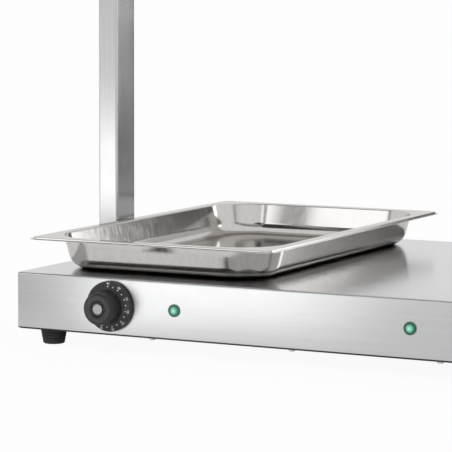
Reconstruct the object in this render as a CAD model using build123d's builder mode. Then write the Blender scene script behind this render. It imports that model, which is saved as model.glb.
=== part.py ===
from build123d import *
import os
from math import cos, radians, tan

os.makedirs("parts", exist_ok=True)

# Countertop food warmer: heated base, two posts, heat bridge and one food pan.
# Millimetres, +X to the right, +Y to the back, +Z up, feet standing on Z = 0.

# Driving dimensions of the base
base_width = 720.0
base_depth = 547.0
base_height = 67.0
sheet = 1.2
bend_radius = 2.4
corner_radius = 3.0
return_flange = 14.0
bottom_sheet = 1.0
foot_height = 19.0
foot_top_diameter = 33.0
foot_bottom_diameter = 26.0
foot_inset_x = 35.0
foot_inset_y = 27.0

# Driving dimensions of the controls
control_drop = 33.0
knob_inset = 129.0
lamp_inset = 213.0
knob_projection = 33.5
skirt_diameter = 59.5
grip_diameter = 39.5
knob_gap = 1.5
cap_diameter = 12.5
spindle_diameter = 6.0
lamp_diameter = 15.0
gland_projection = 25.0

# Driving dimensions of the posts and the heat bridge
post_width = 27.0
post_depth = 48.0
post_wall = 1.5
post_setback = 268.0
bridge_clearance = 370.0
bridge_height = 60.0
bridge_depth = 190.0
tube_diameter = 11.0
tube_length = 300.0

# Driving dimensions of the food pan
pan_length = 530.0
pan_width = 325.0
pan_depth = 40.0
pan_sheet = 0.8
pan_lip = 3.5
pan_gap = 1.5
pan_front_gap = 19.0

# Levels and faces that follow from the driving dimensions
panel_bottom = foot_height + bottom_sheet
plate_z = panel_bottom + base_height
plate_under = plate_z - sheet
mid_y = (knob_projection - gland_projection) / 2
front_y = mid_y - base_depth / 2
back_y = mid_y + base_depth / 2
side_x = base_width / 2
control_z = plate_z - control_drop
knob_x = side_x - knob_inset
lamp_x = side_x - lamp_inset
foot_x = side_x - foot_inset_x
post_y = front_y + post_setback
post_bottom = panel_bottom + 5.0
bridge_z = plate_z + bridge_clearance
bridge_top = bridge_z + bridge_height
cap_lip = 3.0
post_top = bridge_top - cap_lip
zone_x = base_width / 4
sides = (("left", -1), ("right", 1))
corners = [
    (sx * foot_x, sy)
    for sx in (-1, 1)
    for sy in (front_y + foot_inset_y, back_y - foot_inset_y)
]


def save(part, name):
    """Label one finished piece and write it out under its own name."""
    part.label = name
    export_step(part, f"parts/{name}.step")


def panel_plane(x, z, out=0.0):
    """Plane parallel to the front panel, its normal pointing out to the front."""
    return Plane(origin=(x, front_y - out, z), x_dir=(1, 0, 0), z_dir=(0, -1, 0))


def turning_plane(x, z):
    """Plane through a control's axis: local x is the radius, local y points out of the panel."""
    return Plane(origin=(x, front_y, z), x_dir=(1, 0, 0), z_dir=(0, 0, -1))


def control_axis(x, z):
    """Axis of a front control, pointing out to the front."""
    return Axis((x, front_y, z), (0, -1, 0))


def across_plane(x):
    """Plane square to X; local x is Y and local y is Z."""
    return Plane(origin=(x, 0, 0), x_dir=(0, 1, 0), z_dir=(1, 0, 0))


# Where the bottom plate is screwed to the return flange of the shell
flange_mid = sheet + return_flange / 2
bottom_screw_spots = [
    (x, y)
    for x in (-base_width / 4, 0, base_width / 4)
    for y in (front_y + flange_mid, back_y - flange_mid)
] + [
    (sx * (side_x - flange_mid), mid_y + dy)
    for sx in (-1, 1)
    for dy in (-base_depth / 5, base_depth / 5)
]

# Where the posts are bolted, as heights on the base's side wall and on the bridge's end plate
base_bolt_heights = (panel_bottom + 21, plate_z - 17)
bridge_bolt_heights = (bridge_z + 16, bridge_z + 42)
bolt_diameter = 6.0

# Cable gland on the back wall
gland_x = side_x - 75
gland_z = panel_bottom + 31
gland_thread = 16.0

# Base shell: top plate and four walls folded from one sheet, with a return flange below
with BuildPart() as base_shell:
    with BuildSketch(Plane.XY.offset(panel_bottom)):
        with Locations((0, mid_y)):
            RectangleRounded(base_width, base_depth, corner_radius)
    extrude(amount=base_height)
    fillet(base_shell.faces().sort_by(Axis.Z)[-1].edges(), bend_radius)
    offset(amount=-sheet, openings=base_shell.faces().sort_by(Axis.Z)[0])
    with BuildSketch(Plane.XY.offset(panel_bottom)):
        with Locations((0, mid_y)):
            RectangleRounded(base_width - sheet, base_depth - sheet, corner_radius - sheet / 2)
            Rectangle(
                base_width - 2 * (sheet + return_flange),
                base_depth - 2 * (sheet + return_flange),
                mode=Mode.SUBTRACT,
            )
    extrude(amount=sheet)
    with BuildSketch(Plane.XY.offset(panel_bottom - 1)):
        with Locations(*bottom_screw_spots):
            Circle(1.8)
    extrude(amount=sheet + 2, mode=Mode.SUBTRACT)
    with BuildSketch(panel_plane(0, control_z, 1)):
        with Locations((-knob_x, 0), (knob_x, 0)):
            Circle(5.2)
        with Locations(*[(sx * knob_x + dx, 0) for sx in (-1, 1) for dx in (-14, 14)]):
            Circle(2.2)
        with Locations((-lamp_x, 0), (lamp_x, 0)):
            Circle(6.2)
    extrude(amount=-(sheet + 2), mode=Mode.SUBTRACT)
    with BuildSketch(Plane(origin=(gland_x, back_y + 1, gland_z), x_dir=(-1, 0, 0), z_dir=(0, 1, 0))):
        Circle(gland_thread / 2 + 0.2)
    extrude(amount=-(sheet + 2), mode=Mode.SUBTRACT)
    for sx in (-1, 1):
        with BuildSketch(across_plane(sx * (side_x + 1))):
            with Locations(*[(post_y, h) for h in base_bolt_heights]):
                Circle(bolt_diameter / 2 + 0.2)
        extrude(amount=-sx * (sheet + 2), mode=Mode.SUBTRACT)
save(base_shell.part, "base_shell")

# Bottom plate: screwed under the flange, with two fields of vent slots
with BuildPart() as bottom_plate:
    with BuildSketch(Plane.XY.offset(foot_height)):
        with Locations((0, mid_y)):
            RectangleRounded(base_width - 3, base_depth - 3, corner_radius)
        with Locations(*bottom_screw_spots):
            Circle(2.2, mode=Mode.SUBTRACT)
        with Locations(*corners):
            Circle(2.7, mode=Mode.SUBTRACT)
        for sx in (-1, 1):
            with Locations((sx * zone_x, front_y + 90), (sx * zone_x, back_y - 90)):
                with GridLocations(14, 60, 8, 1):
                    SlotOverall(50, 4, rotation=90, mode=Mode.SUBTRACT)
    extrude(amount=bottom_sheet)
save(bottom_plate.part, "bottom_plate")

# Screws of the bottom plate, pan heads below and shanks up into the flange
with BuildPart() as bottom_screws:
    with BuildSketch(Plane.XY.offset(foot_height - 2.4)):
        with Locations(*bottom_screw_spots):
            Circle(3.5)
    extrude(amount=2.4)
    chamfer(bottom_screws.faces().filter_by(Axis.Z).group_by(Axis.Z)[0].edges(), 0.8)
    with BuildSketch(Plane.XY.offset(foot_height)):
        with Locations(*bottom_screw_spots):
            Circle(1.75)
    extrude(amount=bottom_sheet + sheet + 4)
save(bottom_screws.part, "bottom_screws")

# Feet: tapered rubber with ribs turned into the side and a sunk seat for the screw
foot_seat = 12.0
foot_rib = 0.7
rib_count = 5
rib_pitch = (foot_height - 3) / rib_count
foot_lean = (foot_top_diameter - foot_bottom_diameter) / 2 / foot_height
foot_side = []
for rib in range(rib_count):
    height = 1.5 + rib * rib_pitch
    edge = foot_bottom_diameter / 2 + foot_lean * height
    foot_side += [(edge, height), (edge, height + 0.7 * rib_pitch)]
    foot_side += [(edge - foot_rib, height + 0.85 * rib_pitch)]
for (x, y), name in zip(corners, ("front_left", "rear_left", "front_right", "rear_right")):
    with BuildPart() as foot:
        with BuildSketch(Plane(origin=(x, y, 0), x_dir=(1, 0, 0), z_dir=(0, -1, 0))):
            with BuildLine():
                Polyline(
                    (7, 0),
                    (foot_bottom_diameter / 2 - 1, 0),
                    *foot_side,
                    (foot_top_diameter / 2, foot_height - 1.5),
                    (foot_top_diameter / 2, foot_height),
                    (2.7, foot_height),
                    (2.7, foot_seat),
                    (7, foot_seat),
                    (7, 0),
                )
            make_face()
        revolve(axis=Axis((x, y, 0), (0, 0, 1)))
    save(foot.part, f"foot_{name}")

# Foot screws and the nuts above the bottom plate
with BuildPart() as foot_screws:
    with BuildSketch(Plane.XY.offset(foot_seat - 4)):
        with Locations(*corners):
            Circle(5.5)
    extrude(amount=4)
    with BuildSketch(Plane.XY.offset(foot_seat - 4)):
        with Locations(*corners):
            RegularPolygon(2.5, 6)
    extrude(amount=2.4, mode=Mode.SUBTRACT)
    with BuildSketch(Plane.XY.offset(foot_seat)):
        with Locations(*corners):
            Circle(2.5)
    extrude(amount=foot_height - foot_seat + 8)
save(foot_screws.part, "foot_screws")

with BuildPart() as foot_nuts:
    with BuildSketch(Plane.XY.offset(panel_bottom)):
        with Locations(*corners):
            RegularPolygon(4, 6, major_radius=False)
            Circle(2.55, mode=Mode.SUBTRACT)
    extrude(amount=4)
save(foot_nuts.part, "foot_nuts")

# Heating zones under the top plate, one each side: mat, insulation and pressure plate
stack_front = front_y + 48
stack_length = back_y - 24 - stack_front
stack_y = stack_front + stack_length / 2
stack_width = 320.0
mat_margin = 40.0
mat_thickness = 2.0
wool_thickness = 18.0
tray_flange = 8.0
stud_reach_x = stack_width / 2 - 8
stud_reach_y = stack_length / 2 - 8
mat_under = plate_under - mat_thickness
tray_top = mat_under - wool_thickness
stud_spots = [
    (sz * zone_x + sx * stud_reach_x, stack_y + sy * stud_reach_y)
    for sz in (-1, 1)
    for sx in (-1, 1)
    for sy in (-1, 1)
]
for side, sign in sides:
    with BuildPart() as heating_mat:
        with BuildSketch(Plane.XY.offset(mat_under)):
            with Locations((sign * zone_x, stack_y)):
                RectangleRounded(stack_width - mat_margin, stack_length - mat_margin, 8)
        extrude(amount=mat_thickness)
        with BuildSketch(Plane.XY.offset(mat_under)):
            with Locations((sign * zone_x, stack_y - (stack_length - mat_margin) / 2 - 5)):
                Rectangle(30, 12)
        extrude(amount=mat_thickness)
    save(heating_mat.part, f"heating_mat_{side}")

    with BuildPart() as insulation:
        with BuildSketch(Plane.XY.offset(tray_top)):
            with Locations((sign * zone_x, stack_y)):
                RectangleRounded(stack_width - mat_margin + 4, stack_length - mat_margin + 4, 10)
        extrude(amount=wool_thickness)
    save(insulation.part, f"insulation_{side}")

    with BuildPart() as pressure_plate:
        with BuildSketch(Plane.XY.offset(tray_top - 1)):
            with Locations((sign * zone_x, stack_y)):
                RectangleRounded(stack_width, stack_length, 6)
            with Locations(*stud_spots):
                Circle(2.8, mode=Mode.SUBTRACT)
            with Locations((sign * zone_x, stack_y)):
                with GridLocations(90, 120, 3, 3):
                    SlotOverall(60, 5, mode=Mode.SUBTRACT)
        extrude(amount=1)
        with BuildSketch(Plane.XY.offset(tray_top - 1 - tray_flange)):
            for edge in (-1, 1):
                with Locations((sign * zone_x + edge * (stack_width / 2 - 0.5), stack_y)):
                    Rectangle(1, stack_length - 60)
        extrude(amount=tray_flange)
    save(pressure_plate.part, f"pressure_plate_{side}")

# Weld studs under the top plate and the nuts that pull the pressure plates up
stud_length = plate_under - tray_top + 9
with BuildPart() as pressure_studs:
    with BuildSketch(Plane.XY.offset(plate_under - stud_length)):
        with Locations(*stud_spots):
            Circle(2.5)
    extrude(amount=stud_length)
save(pressure_studs.part, "pressure_studs")

with BuildPart() as pressure_nuts:
    with BuildSketch(Plane.XY.offset(tray_top - 5)):
        with Locations(*stud_spots):
            RegularPolygon(4, 6, major_radius=False)
            Circle(2.55, mode=Mode.SUBTRACT)
    extrude(amount=4)
save(pressure_nuts.part, "pressure_nuts")

# Knobs, caps, spindles, thermostats and sensors, one set per zone
shaft = spindle_diameter / 2
spindle_out = knob_projection - 9
spindle_in = 14.0
spindle_flat = shaft - 1
hub_start = 3.0
skirt_edge = 5.0
skirt_face = knob_gap + skirt_edge
grip_root = skirt_face + 2.0
recess_radius = 9.0
recess_depth = 2.6
flute_count = 20
body_size = 36.0
body_depth = 24.0
for side, sign in sides:
    x = sign * knob_x
    with BuildPart() as knob:
        with BuildSketch(turning_plane(x, control_z)):
            with BuildLine():
                Polyline(
                    (0, hub_start),
                    (8, hub_start),
                    (8, skirt_face - 1),
                    (skirt_diameter / 2 - 4, skirt_face - 2.2),
                    (skirt_diameter / 2 - 3, knob_gap),
                    (skirt_diameter / 2, knob_gap),
                    (skirt_diameter / 2, skirt_face - 0.8),
                    (skirt_diameter / 2 - 0.8, skirt_face),
                    (grip_diameter / 2 + 0.6, grip_root),
                    (grip_diameter / 2, grip_root + 0.8),
                    (grip_diameter / 2 - 0.8, knob_projection - 5),
                    (grip_diameter / 2 - 2.6, knob_projection - 1.6),
                    (grip_diameter / 2 - 6, knob_projection),
                    (recess_radius + 1.2, knob_projection - 0.4),
                    (recess_radius, knob_projection - 1.2),
                    (recess_radius - 1.2, knob_projection - recess_depth),
                    (0, knob_projection - recess_depth),
                    (0, hub_start),
                )
            make_face()
        revolve(axis=control_axis(x, control_z))
        with BuildSketch(panel_plane(x, control_z, grip_root + 4)):
            with PolarLocations(grip_diameter / 2 + 0.9, flute_count):
                Circle(1.7)
        extrude(amount=knob_projection - grip_root - 10, mode=Mode.SUBTRACT)
        with BuildSketch(panel_plane(x, control_z, hub_start - 1)):
            Circle(shaft)
            with Locations((0, shaft + spindle_flat)):
                Rectangle(2 * shaft, 2 * shaft, mode=Mode.SUBTRACT)
        extrude(amount=spindle_out - hub_start + 1, mode=Mode.SUBTRACT)
    save(knob.part, f"knob_{side}")

    with BuildPart() as knob_cap:
        with BuildSketch(panel_plane(x, control_z, knob_projection - recess_depth)):
            Circle(cap_diameter / 2)
        extrude(amount=1.4)
        fillet(knob_cap.faces().sort_by(Axis.Y)[0].edges(), 0.5)
    save(knob_cap.part, f"knob_cap_{side}")

    with BuildPart() as spindle:
        with BuildSketch(panel_plane(x, control_z, -spindle_in)):
            Circle(shaft)
        extrude(amount=spindle_in + spindle_out)
        with BuildSketch(panel_plane(x, control_z, hub_start - 0.5)):
            with Locations((0, shaft + spindle_flat)):
                Rectangle(2 * shaft + 1, 2 * shaft)
        extrude(amount=spindle_out, mode=Mode.SUBTRACT)
    save(spindle.part, f"spindle_{side}")

    with BuildPart() as thermostat:
        with BuildSketch(panel_plane(x, control_z, -sheet)):
            RectangleRounded(body_size, body_size, 3)
        extrude(amount=-body_depth)
        with BuildSketch(panel_plane(x, control_z, -sheet)):
            Circle(5)
        extrude(amount=sheet + 1.6)
        with BuildSketch(panel_plane(x, control_z, -sheet - body_depth)):
            with Locations((-9, 10), (9, 10)):
                Rectangle(6.3, 0.8)
        extrude(amount=-9)
        with BuildSketch(panel_plane(x, control_z, 2)):
            Circle(shaft + 0.05)
        extrude(amount=-(2 + spindle_in + 0.4), mode=Mode.SUBTRACT)
        with BuildSketch(panel_plane(x, control_z, -sheet)):
            with Locations((-14, 0), (14, 0)):
                Circle(2.0)
        extrude(amount=-8, mode=Mode.SUBTRACT)
    save(thermostat.part, f"thermostat_{side}")

    # Sensor bulb under the plate between the zones, joined to the thermostat by a capillary
    bulb_x = sign * 12.0
    bulb_z = plate_under - 3.4
    bulb_start = front_y + 180
    tube_start = front_y + sheet + body_depth
    run_y = tube_start + 10
    run_z = control_z - 10
    with BuildPart() as sensor:
        with BuildLine():
            FilletPolyline(
                (x, tube_start, run_z),
                (x, run_y, run_z),
                (bulb_x, run_y, run_z),
                (bulb_x, bulb_start - 40, bulb_z),
                (bulb_x, bulb_start + 2, bulb_z),
                radius=(6, 12, 24),
            )
        with BuildSketch(Plane(origin=(x, tube_start, run_z), x_dir=(1, 0, 0), z_dir=(0, 1, 0))):
            Circle(0.9)
        sweep()
        with BuildSketch(Plane(origin=(bulb_x, bulb_start, bulb_z), x_dir=(1, 0, 0), z_dir=(0, 1, 0))):
            Circle(3)
        extrude(amount=90)
        fillet(sensor.faces().sort_by(Axis.Y)[-1].edges(), 1.5)
    save(sensor.part, f"sensor_{side}")

# Thermostat screws, heads outside the panel under the hollow of the skirts
screw_spots = [(sx * knob_x + dx, 0) for sx in (-1, 1) for dx in (-14, 14)]
with BuildPart() as thermostat_screws:
    with BuildSketch(panel_plane(0, control_z)):
        with Locations(*screw_spots):
            Circle(3.5)
    extrude(amount=2)
    with BuildSketch(panel_plane(0, control_z)):
        with Locations(*screw_spots):
            Circle(1.95)
    extrude(amount=-(sheet + 7))
save(thermostat_screws.part, "thermostat_screws")

# Saddle clips that hold the sensor bulbs against the plate
with BuildPart() as bulb_clips:
    with BuildSketch(Plane(origin=(0, front_y + 220, 0), x_dir=(1, 0, 0), z_dir=(0, -1, 0))):
        for sign in (-1, 1):
            with Locations((sign * 12.0, plate_under - 4)):
                Rectangle(9.6, 8)
            with Locations((sign * 12.0, plate_under - 3.4)):
                Rectangle(6.8, 7, mode=Mode.SUBTRACT)
    extrude(amount=-10)
save(bulb_clips.part, "bulb_clips")

# Pilot lamps: lens with bezel outside, body and retaining nut behind the panel
dome_base = lamp_diameter / 2 - 2.4
dome_rise = 1.6
dome_radius = (dome_base**2 + dome_rise**2) / (2 * dome_rise)
dome_foot = 1.4
dome_top = dome_foot + dome_rise
dome_middle = dome_top - dome_radius + (dome_radius**2 - (dome_base / 2) ** 2) ** 0.5
for side, sign in sides:
    x = sign * lamp_x
    with BuildPart() as pilot_lens:
        with BuildSketch(turning_plane(x, control_z)):
            with BuildLine():
                Polyline(
                    (0, dome_top),
                    (0, -5),
                    (6, -5),
                    (6, 0),
                    (lamp_diameter / 2, 0),
                    (lamp_diameter / 2, 1.2),
                    (lamp_diameter / 2 - 0.8, 2.0),
                    (lamp_diameter / 2 - 1.8, 2.0),
                    (dome_base, dome_foot),
                )
                ThreePointArc((dome_base, dome_foot), (dome_base / 2, dome_middle), (0, dome_top))
            make_face()
        revolve(axis=control_axis(x, control_z))
    save(pilot_lens.part, f"pilot_lens_{side}")

    with BuildPart() as pilot_body:
        with BuildSketch(panel_plane(x, control_z, -5)):
            Circle(6)
        extrude(amount=-20)
        with BuildSketch(panel_plane(x, control_z, -25)):
            with Locations((-2.6, 0), (2.6, 0)):
                Rectangle(0.8, 4.8)
        extrude(amount=-8)
    save(pilot_body.part, f"pilot_body_{side}")

with BuildPart() as pilot_nuts:
    with BuildSketch(panel_plane(0, control_z, -sheet)):
        with Locations((-lamp_x, 0), (lamp_x, 0)):
            RegularPolygon(9, 6, major_radius=False)
            Circle(6.05, mode=Mode.SUBTRACT)
    extrude(amount=-3)
save(pilot_nuts.part, "pilot_nuts")

# Terminal block on the bottom plate near the gland, one pole per row
block_x = gland_x - 40
block_y = back_y - 14
pole_count = 5
pole_pitch = 12.0
with BuildPart() as terminal_block:
    with BuildSketch(Plane.XY.offset(panel_bottom)):
        with Locations((block_x - 60, block_y - 45)):
            RectangleRounded(pole_count * pole_pitch + 6, 26, 2)
    extrude(amount=11)
    with BuildSketch(Plane.XY.offset(panel_bottom + 11)):
        with Locations((block_x - 60, block_y - 45)):
            RectangleRounded(pole_count * pole_pitch, 16, 2)
    extrude(amount=9)
    with BuildSketch(Plane.XY.offset(panel_bottom + 20)):
        with Locations((block_x - 60, block_y - 45)):
            with GridLocations(pole_pitch, 8, pole_count, 2):
                Circle(2.2)
    extrude(amount=-6, mode=Mode.SUBTRACT)
save(terminal_block.part, "terminal_block")

with BuildPart() as earth_stud:
    with BuildSketch(Plane.XY.offset(panel_bottom)):
        with Locations((gland_x + 30, back_y - 60)):
            Circle(3)
    extrude(amount=16)
    with BuildSketch(Plane.XY.offset(panel_bottom)):
        with Locations((gland_x + 30, back_y - 60)):
            Circle(6)
    extrude(amount=1.6)
    with BuildSketch(Plane.XY.offset(panel_bottom + 1.6)):
        with Locations((gland_x + 30, back_y - 60)):
            RegularPolygon(5, 6, major_radius=False)
    extrude(amount=5)
save(earth_stud.part, "earth_stud")

# Cable gland through the back wall and its nut inside
gland_out = Plane(origin=(gland_x, back_y, gland_z), x_dir=(-1, 0, 0), z_dir=(0, 1, 0))
with BuildPart() as cable_gland:
    with BuildSketch(gland_out):
        RegularPolygon(11, 6, major_radius=False)
    extrude(amount=7)
    with BuildSketch(gland_out.offset(7)):
        Circle(9)
    extrude(amount=4)
    with BuildSketch(gland_out.offset(11)):
        RegularPolygon(10.5, 6, major_radius=False)
    extrude(amount=gland_projection - 11)
    fillet(cable_gland.faces().sort_by(Axis.Y)[-1].edges(), 3)
    with BuildSketch(gland_out):
        Circle(gland_thread / 2)
    extrude(amount=-(sheet + 9))
    with BuildSketch(gland_out.offset(gland_projection)):
        Circle(4)
    extrude(amount=-(gland_projection + sheet + 9), mode=Mode.SUBTRACT)
save(cable_gland.part, "cable_gland")

with BuildPart() as gland_nut:
    with BuildSketch(gland_out.offset(-sheet)):
        RegularPolygon(11, 6, major_radius=False)
        Circle(gland_thread / 2 + 0.05, mode=Mode.SUBTRACT)
    extrude(amount=-5)
save(gland_nut.part, "gland_nut")

# Posts: rectangular tubes on the outside of the side walls
for side, sign in sides:
    with BuildPart() as post:
        with BuildSketch(Plane.XY.offset(post_bottom)):
            with Locations((sign * (side_x + post_width / 2), post_y)):
                RectangleRounded(post_width, post_depth, 2.5)
                RectangleRounded(
                    post_width - 2 * post_wall,
                    post_depth - 2 * post_wall,
                    1.0,
                    mode=Mode.SUBTRACT,
                )
        extrude(amount=post_top - post_bottom)
        with BuildSketch(across_plane(sign * (side_x - 1))):
            with Locations(*[(post_y, h) for h in base_bolt_heights + bridge_bolt_heights]):
                Circle(bolt_diameter / 2 + 0.2)
        extrude(amount=sign * (post_wall + 2), mode=Mode.SUBTRACT)
    save(post.part, f"post_{side}")

# End caps pushed into both ends of both posts
with BuildPart() as post_end_caps:
    for sign in (-1, 1):
        post_x = sign * (side_x + post_width / 2)
        for level, up in ((post_top, 1), (post_bottom, -1)):
            with BuildSketch(Plane.XY.offset(level)):
                with Locations((post_x, post_y)):
                    RectangleRounded(post_width, post_depth, 2.5)
            extrude(amount=up * cap_lip)
            with BuildSketch(Plane.XY.offset(level)):
                with Locations((post_x, post_y)):
                    RectangleRounded(post_width - 2 * post_wall - 0.2, post_depth - 2 * post_wall - 0.2, 0.9)
            extrude(amount=-up * 8)
    fillet(post_end_caps.faces().filter_by(Axis.Z).group_by(Axis.Z)[-1].edges(), 1.2)
save(post_end_caps.part, "post_end_caps")

# Heat bridge: folded shell open below, with vent slots along its top
slope = 32.0
rise = bridge_height - 28.0
half = bridge_depth / 2
bridge_length = 2 * side_x
hem = 12.0
slot_count = 12


def bridge_section(inset):
    """Corner points of the bridge's outline, drawn in from the outside by the given amount."""
    lean = inset * (((slope**2 + rise**2) ** 0.5 - slope) / rise)
    turn = inset * (((slope**2 + rise**2) ** 0.5 - rise) / slope)
    return [
        (post_y - half + inset, bridge_z + inset),
        (post_y - half + inset, bridge_top - rise - turn),
        (post_y - half + slope + lean, bridge_top - inset),
        (post_y + half - slope - lean, bridge_top - inset),
        (post_y + half - inset, bridge_top - rise - turn),
        (post_y + half - inset, bridge_z + inset),
    ]


with BuildPart() as bridge_shell:
    with BuildSketch(across_plane(-side_x)):
        with BuildLine():
            Polyline(*bridge_section(0), close=True)
        make_face()
        with BuildLine():
            Polyline(*bridge_section(sheet), close=True)
        make_face(mode=Mode.SUBTRACT)
        with Locations((post_y, bridge_z)):
            Rectangle(bridge_depth - 2 * hem, 4 * sheet, mode=Mode.SUBTRACT)
    extrude(amount=bridge_length)
    fillet(bridge_shell.edges().filter_by(Axis.X).group_by(Axis.Z)[-1], 3)
    with BuildSketch(Plane.XY.offset(bridge_top + 1)):
        with Locations((0, post_y)):
            with GridLocations(bridge_length / slot_count, 34, slot_count, 2):
                SlotOverall(42, 4)
    extrude(amount=-(sheet + 3), mode=Mode.SUBTRACT)
    switch_x = side_x - 70
    switch_z = bridge_z + 14.5
    switch_front = post_y - half
    with BuildSketch(Plane(origin=(switch_x, switch_front - 1, switch_z), x_dir=(1, 0, 0), z_dir=(0, -1, 0))):
        Rectangle(20.4, 14.4)
    extrude(amount=-(sheet + 2), mode=Mode.SUBTRACT)
save(bridge_shell.part, "bridge_shell")

# End plates inside the bridge's ends, bolted through to the posts
end_plate = 2.0
for side, sign in sides:
    with BuildPart() as bridge_end:
        with BuildSketch(across_plane(sign * side_x)):
            with BuildLine():
                Polyline(*bridge_section(sheet + 0.2), close=True)
            make_face()
            with Locations((post_y, bridge_bolt_heights[0]), (post_y, bridge_bolt_heights[1])):
                Circle(bolt_diameter / 2 + 0.2, mode=Mode.SUBTRACT)
        extrude(amount=-sign * end_plate)
    save(bridge_end.part, f"bridge_end_{side}")

# Bolts and nuts of the posts: heads inside the base and inside the bridge
with BuildPart() as post_bolts:
    for sign in (-1, 1):
        for heights, grip in ((base_bolt_heights, sheet), (bridge_bolt_heights, end_plate)):
            with BuildSketch(across_plane(sign * (side_x - grip))):
                with Locations(*[(post_y, h) for h in heights]):
                    RegularPolygon(5, 6, major_radius=False)
            extrude(amount=-sign * 4)
            with BuildSketch(across_plane(sign * (side_x - grip))):
                with Locations(*[(post_y, h) for h in heights]):
                    Circle(bolt_diameter / 2)
            extrude(amount=sign * (grip + post_wall + 8))
save(post_bolts.part, "post_bolts")

with BuildPart() as post_nuts:
    for sign in (-1, 1):
        with BuildSketch(across_plane(sign * (side_x + post_wall))):
            with Locations(*[(post_y, h) for h in base_bolt_heights + bridge_bolt_heights]):
                RegularPolygon(5, 6, major_radius=False)
                Circle(bolt_diameter / 2 + 0.05, mode=Mode.SUBTRACT)
        extrude(amount=sign * 5)
save(post_nuts.part, "post_nuts")

# Reflectors resting on the shell's hems, one over each zone
reflector_length = bridge_length / 2 - 12
reflector_z = bridge_z + sheet
reflector_top = bridge_z + 46
tube_z = bridge_z + 24
tube_radius = tube_diameter / 2
ceramic_radius = 8.0
ceramic_length = 28.0
tube_seat = 12.0
bracket_gap = tube_length / 2 - tube_seat + ceramic_length / 2
for side, sign in sides:
    with BuildPart() as reflector:
        with BuildSketch(across_plane(sign * zone_x - reflector_length / 2)):
            with BuildLine():
                FilletPolyline(
                    (post_y - half + sheet + 1, reflector_z),
                    (post_y - 70, reflector_z),
                    (post_y - 36, reflector_top),
                    (post_y + 36, reflector_top),
                    (post_y + 70, reflector_z),
                    (post_y + half - sheet - 1, reflector_z),
                    radius=4,
                )
                offset(amount=0.8, side=Side.LEFT)
            make_face()
        extrude(amount=reflector_length)
    save(reflector.part, f"reflector_{side}")

    with BuildPart() as quartz_tube:
        with BuildSketch(across_plane(sign * zone_x - tube_length / 2)):
            with Locations((post_y, tube_z)):
                Circle(tube_radius)
                Circle(tube_radius - 1.2, mode=Mode.SUBTRACT)
        extrude(amount=tube_length)
    save(quartz_tube.part, f"quartz_tube_{side}")

    with BuildPart() as filament:
        with BuildSketch(across_plane(sign * zone_x - tube_length / 2 - 6)):
            with Locations((post_y, tube_z)):
                Circle(0.9)
        extrude(amount=tube_length + 12)
        with BuildSketch(across_plane(sign * zone_x - tube_length / 2 + 18)):
            with Locations((post_y, tube_z)):
                Circle(2.6)
        extrude(amount=tube_length - 36)
    save(filament.part, f"filament_{side}")

# Ceramic ends on the tubes and the brackets that carry them
with BuildPart() as tube_ends:
    for sign in (-1, 1):
        for end in (-1, 1):
            start = sign * zone_x + end * (tube_length / 2 - tube_seat)
            with BuildSketch(across_plane(start)):
                with Locations((post_y, tube_z)):
                    Circle(ceramic_radius)
            extrude(amount=end * ceramic_length)
            with BuildSketch(across_plane(start)):
                with Locations((post_y, tube_z)):
                    Circle(tube_radius + 0.05)
            extrude(amount=end * tube_seat, mode=Mode.SUBTRACT)
            with BuildSketch(across_plane(start)):
                with Locations((post_y, tube_z)):
                    Circle(0.95)
            extrude(amount=end * (tube_seat + 6.2), mode=Mode.SUBTRACT)
save(tube_ends.part, "tube_ends")

with BuildPart() as tube_brackets:
    for sign in (-1, 1):
        for end in (-1, 1):
            spot = sign * zone_x + end * bracket_gap
            with BuildSketch(across_plane(spot - 0.6)):
                with BuildLine():
                    Polyline(
                        (post_y - 20, reflector_top),
                        (post_y + 20, reflector_top),
                        (post_y + 12, tube_z - 12),
                        (post_y - 12, tube_z - 12),
                        close=True,
                    )
                make_face()
                with Locations((post_y, tube_z)):
                    Circle(ceramic_radius + 0.05, mode=Mode.SUBTRACT)
            extrude(amount=1.2)
            with BuildSketch(Plane.XY.offset(reflector_top - 1.2)):
                with Locations((spot + end * 6, post_y)):
                    Rectangle(12.5, 40)
            extrude(amount=1.2)
save(tube_brackets.part, "tube_brackets")

# Wire guards under the tubes, long rods welded to cross rods
guard_length = reflector_length - 20
rod = 1.25
guard_half = half - hem / 2
cross_count = 15
guard_z = bridge_z - rod
for side, sign in sides:
    with BuildPart() as guard:
        with BuildSketch(across_plane(sign * zone_x - guard_length / 2)):
            with Locations((post_y - guard_half, guard_z), (post_y + guard_half, guard_z)):
                Circle(rod)
            with Locations((post_y - 28, guard_z - 1.8), (post_y + 28, guard_z - 1.8)):
                Circle(rod)
        extrude(amount=guard_length)
        with BuildSketch(Plane(origin=(0, post_y - guard_half, 0), x_dir=(1, 0, 0), z_dir=(0, -1, 0))):
            with Locations((sign * zone_x, guard_z)):
                with GridLocations((guard_length - 16) / (cross_count - 1), 1, cross_count, 1):
                    Circle(rod)
        extrude(amount=-2 * guard_half)
    save(guard.part, f"guard_{side}")

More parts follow.
